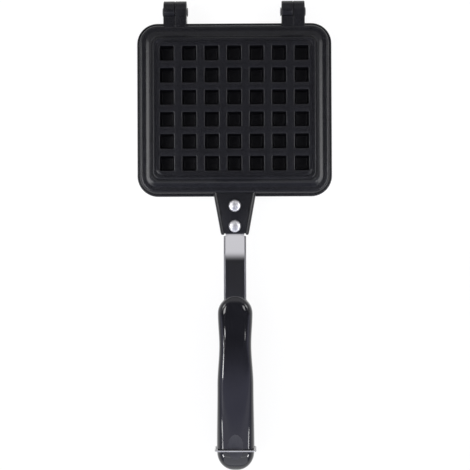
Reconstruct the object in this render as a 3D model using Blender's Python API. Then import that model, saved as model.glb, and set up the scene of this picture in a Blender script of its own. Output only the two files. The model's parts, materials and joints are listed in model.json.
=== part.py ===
"""A stovetop waffle iron, closed and lying flat on its lower pan, in metres.

Both halves are the same set of pieces: pan, steel strip, two rivets, handle shell and two screws. Each piece is
modelled once in the frame of a half. Its origin is the middle of the hinge axis, Y runs away from the handles, and
Z is the height over the parting plane, so every Y on the pan and the handle is negative. The upper set hangs on an
empty on the hinge axis, and the lower set on an empty there that is turned over about Y.
"""

import math

import bmesh
import bpy
from mathutils import Matrix

# Fits and working allowances
SEAT_GAP = 0.0003
RUNNING_GAP = 0.0003
PARTING_GAP = 0.0003
OVERRUN = 0.002
WELD_DISTANCE = 0.000001
SHARP_ANGLE = math.radians(32)

# Waffle pits, seen from outside, and the hollow pegs that they make inside
PIT_COLUMNS = 7
PIT_ROWS = 6
RIDGE_X = 0.00575
RIDGE_Y = 0.00484
PIT_EDGE = 0.0006
PIT_DEPTH = 0.0075
PIT_DRAFT = 0.0009
PIT_FLOOR = 0.002
PEG_WALL = 0.0014
PEG_EDGE = 0.0007
PEG_FLARE = 0.0006
FIELD_MARGIN_X = 0.00235
FIELD_MARGIN_Y = 0.00325

# Pan and its rim, from the lip inwards and upwards
PAN_WIDTH = 0.1572
PAN_LENGTH = 0.1401
PAN_HEIGHT = 0.016
PAN_METAL = 0.003
CORNER_RADIUS = 0.0165
LEAST_CORNER = 0.0025
CORNER_STEPS = 5
LIP_WIDTH = 0.0016
LIP_THICKNESS = 0.003
LIP_ROUND = 0.0006
WALL_LEAN = 0.001
EDGE_HEIGHT = 0.0086
EDGE_ROUND = 0.002
LEDGE_RUN = 0.0024
LEDGE_RISE = 0.0006
SHOULDER_RUN = 0.0049
SHOULDER_STEPS = 4
RIM_FLAT = 0.0013
GROOVE_WIDTH = 0.0031
GROOVE_DEPTH = 0.0006
GROOVE_SLOPE = 0.0006

# Pan cavity, from the sealing land inwards
LAND_WIDTH = 0.006
CAVITY_DRAFT = 0.0008
CAVITY_ROUND = 0.001
SHOULDER_SHIFT = 0.0019

# Hinge lugs and pins
LUG_INSET = 0.0309
LUG_WIDTH = 0.0185
LUG_ROOT = 0.0048
LUG_RELIEF = 0.0003
LUG_BASE_HEIGHT = 0.0083
LUG_BASE_LENGTH = 0.005
KNUCKLE_RADIUS = 0.0088
KNUCKLE_STEPS = 20
KNUCKLE_SIDE_GAP = 0.0006
LIP_CLEARANCE = 0.001
SWEEP_GAP = 0.0006
PIN_RADIUS = 0.0025
PIN_HEAD_RADIUS = 0.0035
PIN_HEAD_HEIGHT = 0.0009
PIN_HEAD_ROUND = 0.0003

# Ribbed tang on the pan
TANG_RIVET_CLEARANCE = 0.0076
TANG_ROOT = 0.0048
TANG_HALF_ROOT = 0.0168
TANG_HALF_END = 0.0112
TANG_FLOOR_LOW = 0.0045
TANG_FLOOR_THICKNESS = 0.002
TANG_FLOOR_SETBACK = 0.0011
RIB_WIDTH = 0.0027
RIB_BOTTOM = 0.0012
RIB_TOP = 0.0078
RIB_ROUND = 0.0007
RIB_END_STEPS = 4

# Tang rivets
RIVET_END_DISTANCE = 0.0069
RIVET_SPACING = 0.0165
RIVET_SHANK_RADIUS = 0.0024
RIVET_HEAD_RADIUS = 0.005
RIVET_HEAD_EDGE = 0.0003
RIVET_HEAD_HEIGHT = 0.0021
RIVET_TAIL_RADIUS = 0.0038
RIVET_TAIL_HEIGHT = 0.0013
RIVET_TAIL_ROUND = 0.0004
TURNED_STEPS = 16
SMALL_STEPS = 12
DOME_STEPS = 3

# Steel strip between tang and handle
STRIP_THICKNESS = 0.0015
STRIP_RIVET_MARGIN = 0.0046
STRIP_TONGUE_GAP = 0.001
STRIP_NECK = 0.0009
STRIP_FOLD_RUN = 0.0003
STRIP_WIDTH = 0.018
STRIP_BEND_RADIUS = 0.002
STRIP_FLANGE = 0.0045
STRIP_NECK_FLANGE = 0.0029
STRIP_EDGE = 0.0012
STRIP_SLOPE_RUN = 0.0185
STRIP_STRAIGHT_SHARE = 0.7
STRIP_RISE = 0.0044
STRIP_INSIDE_FLAT = 0.0055
STRIP_DIP_RUN = 0.011
STRIP_DIP = 0.0036
STRIP_SCREW_MARGIN = 0.0079
STRIP_END_ROUND = 0.0025
STRIP_SLOPE_STEPS = 5
LEAST_FOLD_SHARE = 0.000001

# Handle shell
STRIP_SPAN = 0.0494
HANDLE_WALL = 0.0026
HANDLE_SPLIT_GAP = 0.0006
NOSE_RADIUS = 0.01405
NOSE_TOP = 0.0136
NOSE_ROUND = 0.0025
WAIST_DISTANCE = 0.0394
WAIST_HALF = 0.01296
WAIST_TOP = 0.0136
PALM_DISTANCE = 0.0716
PALM_HALF = 0.0146
PALM_TOP = 0.014
CLASP_DISTANCE = 0.1229
CLASP_LEAD = 0.0014
CLASP_STEP_RUN = 0.0003
CLASP_STEP_TOP = 0.0006
CLASP_STEP_SIDE = 0.0002
DOME_SETBACK = 0.0024
DOME_RADIUS = 0.015
DOME_TOP = 0.014
NOSE_SQUARENESS = 4.5
WAIST_SQUARENESS = 5.0
PALM_SQUARENESS = 4.6
TAIL_SQUARENESS = 3.4
NOSE_ANGLES = [math.radians(a) for a in (9, 20, 32, 46, 64, 90)]
DOME_ANGLES = [math.radians(a) for a in (0, 17, 32, 46, 59, 71, 82)]
SKIN_STEPS = 12
CORE_STEPS = 6
BODY_STEPS = 3

# Inside of the handle shell
SCREW_DISTANCE = 0.0286
SCREW_SPACING = 0.026
SCREW_RADIUS = 0.0016
SCREW_HEAD_RADIUS = 0.0032
SCREW_HEAD_HEIGHT = 0.0018
SCREW_HEAD_ROUND = 0.0006
SCREW_GRIP = 0.0045
BOSS_RADIUS = 0.0042
WEB_STRIP_CLEARANCE = 0.011
WEB_SPACING = 0.0135
WEB_COUNT = 3
WEB_THICKNESS = 0.0016
WEB_RELIEF = 0.0012

# Thumb recess on the handle's back
DIMPLE_LEAD = 0.0028
DIMPLE_HALF_WIDTH = 0.0064
DIMPLE_HALF_LENGTH = 0.0102
DIMPLE_DEPTH = 0.001
DIMPLE_EDGE = 0.0003
DIMPLE_STEPS = 24
DIMPLE_ROW_SHARES = (1, 0.6)

# Wire clasp
WIRE_RADIUS = 0.00075
WIRE_BEND = 0.0019
WIRE_BEND_STEPS = 4
WIRE_HOLE_GAP = 0.0004
CLASP_GAP = 0.0002
CLASP_PIVOT_DEPTH = 0.007
CLASP_END_REACH = 0.0052

# Worked out from the sizes above
SKIN_EDGE_INSET = LIP_WIDTH + WALL_LEAN + EDGE_ROUND
LEDGE_END_INSET = SKIN_EDGE_INSET + LEDGE_RUN
LEDGE_END_HEIGHT = EDGE_HEIGHT + LEDGE_RISE
SHOULDER_END_INSET = LEDGE_END_INSET + SHOULDER_RUN
RIM_WIDTH = SHOULDER_END_INSET + RIM_FLAT + GROOVE_WIDTH
PAN_HALF_X = PAN_WIDTH / 2
PAN_HALF_Y = PAN_LENGTH / 2
PIT_PITCH_X = (PAN_WIDTH - 2 * (RIM_WIDTH + FIELD_MARGIN_X) + RIDGE_X) / PIT_COLUMNS
PIT_PITCH_Y = (PAN_LENGTH - 2 * (RIM_WIDTH + FIELD_MARGIN_Y) + RIDGE_Y) / PIT_ROWS
HINGE_REACH = KNUCKLE_RADIUS + LIP_CLEARANCE
PAN_CENTRE_Y = -HINGE_REACH - PAN_HALF_Y
PAN_FRONT_Y = PAN_CENTRE_Y - PAN_HALF_Y
LUG_X = PAN_HALF_X - LUG_INSET
TANG_LENGTH = RIVET_END_DISTANCE + RIVET_SPACING + TANG_RIVET_CLEARANCE
TANG_END_Y = PAN_FRONT_Y - TANG_LENGTH
RIVET_PLACES = [TANG_END_Y + RIVET_END_DISTANCE, TANG_END_Y + RIVET_END_DISTANCE + RIVET_SPACING]
TONGUE_LENGTH = RIVET_END_DISTANCE + RIVET_SPACING + STRIP_RIVET_MARGIN
TONGUE_TOP = TANG_FLOOR_LOW - SEAT_GAP
TONGUE_HALF = TANG_HALF_END - RIB_WIDTH - STRIP_TONGUE_GAP
STRIP_TOP = TONGUE_TOP + STRIP_RISE
SEAT_TOP = STRIP_TOP - STRIP_DIP
NOSE_Y = TANG_END_Y - STRIP_SPAN
DOME_DISTANCE = CLASP_DISTANCE + DOME_SETBACK
HANDLE_END_DISTANCE = DOME_DISTANCE + DOME_RADIUS
DIMPLE_DISTANCE = CLASP_DISTANCE - DIMPLE_LEAD
HANDLE_LOW = HANDLE_SPLIT_GAP / 2
CLASP_Y = NOSE_Y - CLASP_DISTANCE
SCREW_PLACES = [NOSE_Y - SCREW_DISTANCE, NOSE_Y - SCREW_DISTANCE - SCREW_SPACING]
STRIP_END_DISTANCE = SCREW_DISTANCE + SCREW_SPACING + STRIP_SCREW_MARGIN
WEB_FIRST_DISTANCE = STRIP_END_DISTANCE + WEB_STRIP_CLEARANCE
OVERALL_LENGTH = KNUCKLE_RADIUS - NOSE_Y + HANDLE_END_DISTANCE
HINGE_PLACE = (0, OVERALL_LENGTH / 2 - KNUCKLE_RADIUS, PAN_HEIGHT)


def smoothstep(share):
    """An S from 0 to 1 that starts and ends level."""
    held = min(max(share, 0), 1)
    return held * held * (3 - 2 * held)


def mix(first, second, share):
    return first + (second - first) * share


def arc(across, up, radius, start, end, steps):
    """Points on a round, with the angles in degrees."""
    points = []
    for i in range(steps + 1):
        angle = math.radians(mix(start, end, i / steps))
        points.append((across + radius * math.cos(angle), up + radius * math.sin(angle)))
    return points


def rounded_rectangle(half_x, half_y, radius, steps):
    """Corner arcs of a rectangle about the origin, anticlockwise."""
    x, y = half_x - radius, half_y - radius
    corners = [(x, y, 0), (-x, y, 90), (-x, -y, 180), (x, -y, 270)]
    points = []
    for centre_x, centre_y, start in corners:
        points += arc(centre_x, centre_y, radius, start, start + 90, steps)
    return points


def capsule(start, end, radius, steps):
    """Outline round two points, with a half round at each, anticlockwise."""
    heading = math.degrees(math.atan2(end[1] - start[1], end[0] - start[0]))
    first = arc(end[0], end[1], radius, heading - 90, heading + 90, steps)
    return first + arc(start[0], start[1], radius, heading + 90, heading + 270, steps)


def ring(bm, outline, height, centre=(0, 0)):
    """A closed row of vertices at one height."""
    return [bm.verts.new((centre[0] + x, centre[1] + y, height)) for x, y in outline]


def join_rings(bm, first, second):
    """Quads between two closed rows of the same count."""
    for i in range(len(first)):
        j = (i + 1) % len(first)
        bm.faces.new((first[i], first[j], second[j], second[i]))


def ring_edges(bm, row):
    return [bm.edges.get((row[i], row[i - 1])) or bm.edges.new((row[i], row[i - 1])) for i in range(len(row))]


def fill_plate(bm, border, holes):
    """Flat face inside a border, left open at the holes."""
    edges = ring_edges(bm, border)
    for hole in holes:
        edges += ring_edges(bm, hole)
    bmesh.ops.triangle_fill(bm, use_beauty=True, use_dissolve=False, edges=edges)


def finished_mesh(bm, name, curved=False):
    """The mesh with its faces out. Where they are curved, quads are split, so that each face is flat."""
    bmesh.ops.recalc_face_normals(bm, faces=bm.faces)
    if curved:
        bmesh.ops.triangulate(bm, faces=bm.faces)
    mesh = bpy.data.meshes.new(name)
    bm.to_mesh(mesh)
    bm.free()
    return mesh


def helper(mesh):
    """A scene object for a mesh that a Boolean reads, left out of the finished part."""
    obj = bpy.data.objects.new(mesh.name, mesh)
    obj.hide_render = True
    obj.display_type = "WIRE"
    bpy.context.scene.collection.objects.link(obj)
    return obj


def combine(mesh, steps):
    """The mesh after a row of Booleans, each an operation with its tool mesh."""
    base = helper(mesh)
    tools = []
    for operation, tool in steps:
        tools.append(helper(tool))
        modifier = base.modifiers.new(tool.name, "BOOLEAN")
        modifier.operation = operation
        modifier.solver = "EXACT"
        modifier.object = tools[-1]
    bpy.context.view_layer.update()
    graph = bpy.context.evaluated_depsgraph_get()
    result = bpy.data.meshes.new_from_object(base.evaluated_get(graph))
    result.name = mesh.name
    for obj in [base] + tools:
        bpy.data.objects.remove(obj)
    return result


def prism(outline, low, high, name, round_top=0):
    """An upright prism, with an optional bevel round its top edge."""
    bm = bmesh.new()
    rows = [ring(bm, outline, low), ring(bm, outline, high - round_top)]
    if round_top > 0:
        rows.append(ring(bm, shrunk(outline, round_top), high))
    for lower, upper in zip(rows, rows[1:]):
        join_rings(bm, lower, upper)
    bm.faces.new(rows[0])
    bm.faces.new(rows[-1])
    return finished_mesh(bm, name)


def shrunk(outline, distance):
    """The anticlockwise convex outline moved inwards, with its corners mitred."""
    points = []
    for i, (x, y) in enumerate(outline):
        before, after = outline[i - 1], outline[(i + 1) % len(outline)]
        inward = [unit(before[1] - y, x - before[0]), unit(y - after[1], after[0] - x)]
        spread = 1 + inward[0][0] * inward[1][0] + inward[0][1] * inward[1][1]
        shift_x = (inward[0][0] + inward[1][0]) / spread * distance
        shift_y = (inward[0][1] + inward[1][1]) / spread * distance
        points.append((x + shift_x, y + shift_y))
    return points


def unit(x, y):
    length = math.hypot(x, y)
    return (x / length, y / length)


def turned_mesh(profile, steps, name, axis="Z"):
    """A profile of radius and height, low to high, turned about an axis through the origin."""
    bm = bmesh.new()
    row = [bm.verts.new((radius, 0, height)) for radius, height in profile]
    edges = [bm.edges.new(pair) for pair in zip(row, row[1:])]
    bmesh.ops.spin(bm, geom=row + edges, axis=(0, 0, 1), cent=(0, 0, 0), angle=math.tau, steps=steps, use_merge=True)
    bmesh.ops.remove_doubles(bm, verts=bm.verts, dist=WELD_DISTANCE)
    bmesh.ops.transform(bm, matrix=along(axis), verts=bm.verts)
    return finished_mesh(bm, name)


def along(axis):
    """Turns a shape that stands along Z to lie along X, or leaves it."""
    return Matrix.Rotation(math.pi / 2, 4, "Y") if axis == "X" else Matrix.Identity(4)


def rod(radius, low, high, steps, name, axis="Z", centre=(0, 0, 0)):
    """A cylinder from low to high along its axis through the centre."""
    bm = bmesh.new()
    middle = Matrix.Translation((0, 0, (low + high) / 2))
    place = Matrix.Translation(centre) @ along(axis) @ middle
    bmesh.ops.create_cone(
        bm, cap_ends=True, segments=steps, radius1=radius, radius2=radius, depth=high - low, matrix=place
    )
    return finished_mesh(bm, name)


def extruded(outline, left, right, name):
    """An outline of Y and Z drawn out along X."""
    bm = bmesh.new()
    rows = [[bm.verts.new((x, y, z)) for y, z in outline] for x in (left, right)]
    join_rings(bm, rows[0], rows[1])
    bm.faces.new(rows[0])
    bm.faces.new(rows[1])
    return finished_mesh(bm, name)


def box(low, high, name):
    bm = bmesh.new()
    corners = [(low[0], low[1]), (high[0], low[1]), (high[0], high[1]), (low[0], high[1])]
    rows = [ring(bm, corners, low[2]), ring(bm, corners, high[2])]
    join_rings(bm, rows[0], rows[1])
    bm.faces.new(rows[0])
    bm.faces.new(rows[1])
    return finished_mesh(bm, name)


# Pan casting


def pan_outline(inset):
    radius = max(CORNER_RADIUS - inset, LEAST_CORNER)
    return rounded_rectangle(PAN_HALF_X - inset, PAN_HALF_Y - inset, radius, CORNER_STEPS)


def shoulder(start_inset, start_height, end_height):
    """The S that lifts the rim to the waffle field."""
    points = []
    for i in range(SHOULDER_STEPS + 1):
        share = i / SHOULDER_STEPS
        points.append((start_inset + SHOULDER_RUN * share, mix(start_height, end_height, smoothstep(share))))
    return points


def pan_skin():
    """Inset and height of the outside, from the parting face to the inner edge of the groove."""
    points = [(0, PARTING_GAP / 2)]
    points += arc(LIP_ROUND, LIP_THICKNESS - LIP_ROUND, LIP_ROUND, 180, 90, 1)
    points.append((LIP_WIDTH, LIP_THICKNESS))
    points += arc(SKIN_EDGE_INSET, EDGE_HEIGHT - EDGE_ROUND, EDGE_ROUND, 172, 92, 3)
    points += shoulder(LEDGE_END_INSET, LEDGE_END_HEIGHT, PAN_HEIGHT)
    groove_start = SHOULDER_END_INSET + RIM_FLAT
    points.append((groove_start, PAN_HEIGHT))
    points.append((groove_start + GROOVE_SLOPE, PAN_HEIGHT - GROOVE_DEPTH))
    points.append((RIM_WIDTH - GROOVE_SLOPE, PAN_HEIGHT - GROOVE_DEPTH))
    points.append((RIM_WIDTH, PAN_HEIGHT))
    return points


def pan_cavity():
    """Inset and height of the inside, from the sealing land to the inner floor."""
    ledge = EDGE_HEIGHT - PAN_METAL + LEDGE_RISE
    round_inset = LAND_WIDTH + CAVITY_DRAFT + CAVITY_ROUND
    points = [(LAND_WIDTH, PARTING_GAP / 2)]
    points += arc(round_inset, ledge - CAVITY_ROUND, CAVITY_ROUND, 175, 95, 2)
    points += shoulder(LEDGE_END_INSET + SHOULDER_SHIFT, ledge, PAN_HEIGHT - PAN_METAL)
    return points


def pit_centres():
    centres = []
    for row in range(PIT_ROWS):
        for column in range(PIT_COLUMNS):
            x = (column - (PIT_COLUMNS - 1) / 2) * PIT_PITCH_X
            y = (row - (PIT_ROWS - 1) / 2) * PIT_PITCH_Y
            centres.append((x, y))
    return centres


def pit_ring(bm, inset, height, centre):
    """Four corners of a pit, moved in from its mouth by the inset."""
    x, y = (PIT_PITCH_X - RIDGE_X) / 2 - inset, (PIT_PITCH_Y - RIDGE_Y) / 2 - inset
    return ring(bm, [(x, y), (-x, y), (-x, -y), (x, -y)], height, centre)


def sink_pit(bm, centre):
    """One pit seen from outside. Returns its edge in the waffle field."""
    rows = [
        pit_ring(bm, 0, PAN_HEIGHT, centre),
        pit_ring(bm, PIT_EDGE, PAN_HEIGHT - PIT_EDGE, centre),
        pit_ring(bm, PIT_EDGE + PIT_DRAFT, PAN_HEIGHT - PIT_DEPTH, centre),
    ]
    for upper, lower in zip(rows, rows[1:]):
        join_rings(bm, upper, lower)
    bm.faces.new(rows[-1])
    return rows[0]


def raise_peg(bm, centre):
    """The same pit's peg inside the pan. Returns its foot in the inner floor."""
    tip_height = PAN_HEIGHT - PIT_DEPTH - PIT_FLOOR
    tip_inset = PIT_EDGE + PIT_DRAFT - PEG_WALL
    rows = [
        pit_ring(bm, -PEG_FLARE, PAN_HEIGHT - PAN_METAL, centre),
        pit_ring(bm, tip_inset, tip_height + PEG_EDGE, centre),
        pit_ring(bm, tip_inset + PEG_EDGE, tip_height, centre),
    ]
    for foot, head in zip(rows, rows[1:]):
        join_rings(bm, foot, head)
    bm.faces.new(rows[-1])
    return rows[0]


def pan_shell():
    """The pan without lugs and tang, centred on the hinge axis's middle."""
    bm = bmesh.new()
    skin = [ring(bm, pan_outline(inset), height) for inset, height in pan_skin()]
    cavity = [ring(bm, pan_outline(inset), height) for inset, height in pan_cavity()]
    for rows in (skin, cavity):
        for outer, inner in zip(rows, rows[1:]):
            join_rings(bm, outer, inner)
    join_rings(bm, skin[0], cavity[0])
    centres = pit_centres()
    fill_plate(bm, skin[-1], [sink_pit(bm, centre) for centre in centres])
    fill_plate(bm, cavity[-1], [raise_peg(bm, centre) for centre in centres])
    bmesh.ops.translate(bm, vec=(0, PAN_CENTRE_Y, 0), verts=bm.verts)
    return finished_mesh(bm, "pan")


def knuckle_outline():
    """Side view of a knuckle and the web that ties it to the rim, in Y and Z."""
    back = -HINGE_REACH - LUG_ROOT
    low_turn = 180 + math.degrees(math.asin(-LUG_RELIEF / KNUCKLE_RADIUS))
    around = arc(0, 0, KNUCKLE_RADIUS, low_turn, 450, KNUCKLE_STEPS)
    return [(back, LUG_RELIEF)] + around + [(back, LUG_BASE_HEIGHT)]


def hinge_lug(centre_x):
    """A base across the whole lug, one knuckle on its +X half and room for the other pan's knuckle beside it."""
    half = LUG_WIDTH / 2
    base = box(
        (centre_x - half, -HINGE_REACH - LUG_ROOT, LUG_RELIEF),
        (centre_x + half, -HINGE_REACH + LUG_BASE_LENGTH, LUG_BASE_HEIGHT),
        "lug",
    )
    side = KNUCKLE_SIDE_GAP / 2
    room = rod(
        KNUCKLE_RADIUS + SWEEP_GAP,
        centre_x - half - OVERRUN,
        centre_x + side,
        KNUCKLE_STEPS,
        "room",
        "X",
    )
    knuckle = extruded(knuckle_outline(), centre_x + side, centre_x + half, "knuckle")
    bore = rod(
        PIN_RADIUS + RUNNING_GAP,
        centre_x - half - OVERRUN,
        centre_x + half + OVERRUN,
        TURNED_STEPS,
        "bore",
        "X",
    )
    return combine(base, [("DIFFERENCE", room), ("UNION", knuckle), ("DIFFERENCE", bore)])


def tang_half(y):
    """Half width of the tang, which narrows from the pan to its end."""
    return mix(TANG_HALF_END, TANG_HALF_ROOT, (y - TANG_END_Y) / TANG_LENGTH)


def tang_floor():
    near = TANG_END_Y + TANG_FLOOR_SETBACK
    far = PAN_FRONT_Y + TANG_ROOT
    cover = RIB_WIDTH / 2
    outline = [
        (tang_half(far) - cover, far),
        (-tang_half(far) + cover, far),
        (-tang_half(near) + cover, near),
        (tang_half(near) - cover, near),
    ]
    return prism(outline, TANG_FLOOR_LOW, TANG_FLOOR_LOW + TANG_FLOOR_THICKNESS, "tang_floor")


def tang_rib(side):
    """The rounded rib along one edge of the tang. Side is 1 or -1."""
    radius = RIB_WIDTH / 2
    near = TANG_END_Y + radius
    far = PAN_FRONT_Y + TANG_ROOT - radius
    start = (side * (tang_half(far) - radius), far)
    end = (side * (tang_half(near) - radius), near)
    return prism(capsule(start, end, radius, RIB_END_STEPS), RIB_BOTTOM, RIB_TOP, "tang_rib", RIB_ROUND)


def rivet_hole(y):
    radius = RIVET_SHANK_RADIUS + RUNNING_GAP
    return rod(radius, 0, RIB_TOP, TURNED_STEPS, "rivet_hole", centre=(0, y, 0))


def pan_casting():
    steps = [("UNION", hinge_lug(x)) for x in (-LUG_X, LUG_X)]
    steps += [("UNION", tang_floor()), ("UNION", tang_rib(-1)), ("UNION", tang_rib(1))]
    steps += [("DIFFERENCE", rivet_hole(y)) for y in RIVET_PLACES]
    return combine(pan_shell(), steps)


# Hinge pins, rivets and screws


def hinge_pin():
    """A riveted pin along X, with a low head at each end."""
    seat = LUG_WIDTH / 2 + SEAT_GAP
    end = seat + PIN_HEAD_HEIGHT
    head = [
        (PIN_RADIUS, seat),
        (PIN_HEAD_RADIUS, seat),
        (PIN_HEAD_RADIUS, end - PIN_HEAD_ROUND),
        (PIN_HEAD_RADIUS - PIN_HEAD_ROUND, end),
        (0, end),
    ]
    profile = [(radius, -height) for radius, height in reversed(head)] + head
    return turned_mesh(profile, TURNED_STEPS, "hinge_pin", "X")


def tang_rivet():
    """A domed rivet whose origin is the top of the tang's floor."""
    grip = TANG_FLOOR_THICKNESS + SEAT_GAP + STRIP_THICKNESS + SEAT_GAP
    foot = -grip - RIVET_TAIL_HEIGHT
    profile = [
        (0, foot),
        (RIVET_TAIL_RADIUS - RIVET_TAIL_ROUND, foot),
        (RIVET_TAIL_RADIUS, foot + RIVET_TAIL_ROUND),
        (RIVET_TAIL_RADIUS, -grip),
        (RIVET_SHANK_RADIUS, -grip),
        (RIVET_SHANK_RADIUS, SEAT_GAP),
        (RIVET_HEAD_RADIUS, SEAT_GAP),
    ]
    for across, up in arc(0, 0, 1, 0, 90, DOME_STEPS):
        dome = SEAT_GAP + RIVET_HEAD_EDGE + RIVET_HEAD_HEIGHT * up
        profile.append((max(RIVET_HEAD_RADIUS * across, 0) if up < 1 else 0, dome))
    return turned_mesh(profile, TURNED_STEPS, "tang_rivet")


def handle_screw():
    """A screw driven up from the flat side, with its origin on the strip's underside."""
    head = SEAT_GAP + SCREW_HEAD_HEIGHT
    tip = STRIP_THICKNESS + SEAT_GAP + SCREW_GRIP
    profile = [
        (0, -head),
        (SCREW_HEAD_RADIUS - SCREW_HEAD_ROUND, -head),
        (SCREW_HEAD_RADIUS, -head + SCREW_HEAD_ROUND),
        (SCREW_HEAD_RADIUS, -SEAT_GAP),
        (SCREW_RADIUS, -SEAT_GAP),
        (SCREW_RADIUS, tip - SCREW_RADIUS),
        (0, tip),
    ]
    return turned_mesh(profile, SMALL_STEPS, "handle_screw")


# Steel strip


def ramp_up(share):
    """From 0 to 1 along a straight slope that eases to level in its last part."""
    held = min(max(share, 0), 1)
    steady = min(held, STRIP_STRAIGHT_SHARE)
    eased = (held - steady) / (1 - STRIP_STRAIGHT_SHARE)
    rise = steady + (1 - STRIP_STRAIGHT_SHARE) * (eased - eased * eased / 2)
    return rise / (STRIP_STRAIGHT_SHARE + (1 - STRIP_STRAIGHT_SHARE) / 2)


def strip_top(y):
    """Height of the strip's upper face: level under the tang, up to the span, down to its seat in the handle."""
    climb = ramp_up((TANG_END_Y - STRIP_NECK - y) / STRIP_SLOPE_RUN)
    fall = smoothstep((NOSE_Y - STRIP_INSIDE_FLAT - y) / STRIP_DIP_RUN)
    return TONGUE_TOP + STRIP_RISE * climb - STRIP_DIP * fall


def strip_section(y, fold, narrowing=0):
    """Points round the strip at one Y. Fold runs from 0, flat, to 1, edges turned square down."""
    half_metal = STRIP_THICKNESS / 2
    bend = (STRIP_BEND_RADIUS - half_metal) * math.pi / 2
    flat = mix(TONGUE_HALF - bend - STRIP_EDGE, STRIP_WIDTH / 2 - STRIP_BEND_RADIUS, fold) - narrowing
    climb = (strip_top(y) - TONGUE_TOP) / STRIP_RISE
    flange = mix(STRIP_EDGE, mix(STRIP_NECK_FLANGE, STRIP_FLANGE, climb) - STRIP_BEND_RADIUS, fold)
    turn = max(fold, LEAST_FOLD_SHARE) * math.pi / 2
    radius = bend / turn
    middle = strip_top(y) - half_metal
    line = []
    for angle in (0, turn / 2, turn):
        across = flat + radius * math.sin(angle)
        line.append((across, middle - radius * (1 - math.cos(angle)), angle))
    across, height, angle = line[-1]
    line.append((across + flange * math.cos(angle), height - flange * math.sin(angle), angle))
    line = [(-across, height, -angle) for across, height, angle in reversed(line)] + line
    points = []
    for side in (1, -1):
        face = []
        for across, height, angle in line:
            x = across + side * half_metal * math.sin(angle)
            face.append((x, y, height + side * half_metal * math.cos(angle)))
        points += face[::side]
    return points


def strip_stations():
    """Places along the strip, from its tongue under the tang to its end in the handle."""
    start = TANG_END_Y + TONGUE_LENGTH
    neck = TANG_END_Y - STRIP_NECK
    stations = [(start, 0, STRIP_EDGE), (start - STRIP_EDGE, 0, 0), (neck, 0, 0), (neck - STRIP_FOLD_RUN, 1, 0)]
    for i in range(1, STRIP_SLOPE_STEPS + 1):
        rest = STRIP_SLOPE_RUN - STRIP_FOLD_RUN
        stations.append((neck - STRIP_FOLD_RUN - rest * i / STRIP_SLOPE_STEPS, 1, 0))
    inside = NOSE_Y - STRIP_INSIDE_FLAT
    stations.append((inside, 1, 0))
    for i in range(1, STRIP_SLOPE_STEPS):
        share = i / (STRIP_SLOPE_STEPS - 1)
        stations.append((inside - STRIP_DIP_RUN * share, 1 - smoothstep(share), 0))
    end = NOSE_Y - STRIP_END_DISTANCE
    stations += [(end + STRIP_END_ROUND, 0, 0), (end, 0, STRIP_END_ROUND)]
    return stations


def steel_strip():
    bm = bmesh.new()
    rows = []
    for y, fold, narrowing in strip_stations():
        rows.append([bm.verts.new(point) for point in strip_section(y, fold, narrowing)])
    for first, second in zip(rows, rows[1:]):
        join_rings(bm, first, second)
    bm.faces.new(rows[0])
    bm.faces.new(rows[-1])
    strip = finished_mesh(bm, "steel_strip", curved=True)
    screw_radius = SCREW_RADIUS + RUNNING_GAP
    steps = [("DIFFERENCE", rivet_hole(y)) for y in RIVET_PLACES]
    for y in SCREW_PLACES:
        hole = rod(screw_radius, 0, STRIP_TOP, SMALL_STEPS, "screw_hole", centre=(0, y, 0))
        steps.append(("DIFFERENCE", hole))
    return combine(strip, steps)


# Handle shell


def handle_body(distance):
    """Half width, top height and squareness of the grip at a distance behind the nose."""
    places = [
        (NOSE_RADIUS, NOSE_RADIUS, NOSE_TOP, NOSE_SQUARENESS),
        (WAIST_DISTANCE, WAIST_HALF, WAIST_TOP, WAIST_SQUARENESS),
        (PALM_DISTANCE, PALM_HALF, PALM_TOP, PALM_SQUARENESS),
        (CLASP_DISTANCE, DOME_RADIUS + CLASP_STEP_SIDE, DOME_TOP + CLASP_STEP_TOP, TAIL_SQUARENESS),
    ]
    for first, second in zip(places, places[1:]):
        if distance <= second[0]:
            break
    share = smoothstep((distance - first[0]) / (second[0] - first[0]))
    return [mix(a, b, share) for a, b in zip(first[1:], second[1:])]


def dome_fall(distance, start, end):
    """Share of its full size that the dome keeps at a distance, as a quarter ellipse cut just short of its tip."""
    reach = (distance - start) * math.sin(DOME_ANGLES[-1]) / (end - start)
    return math.sqrt(1 - max(reach, 0) ** 2)


def handle_tail(distance, wall):
    """Half width and top height of the grip's rounded end, which keeps its full size up to the clasp."""
    end = HANDLE_END_DISTANCE - wall
    half = (DOME_RADIUS - wall) * dome_fall(distance, DOME_DISTANCE, end)
    top = (DOME_TOP - wall) * dome_fall(distance, CLASP_DISTANCE, end)
    return half, top


def tail_height(x, distance):
    """Height of the rounded end's back above the parting plane, a little way off its middle line."""
    half, top = handle_tail(distance, 0)
    level = (1 - (abs(x) / half) ** TAIL_SQUARENESS) ** (1 / TAIL_SQUARENESS)
    return HANDLE_LOW + (top - HANDLE_LOW) * level


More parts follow.
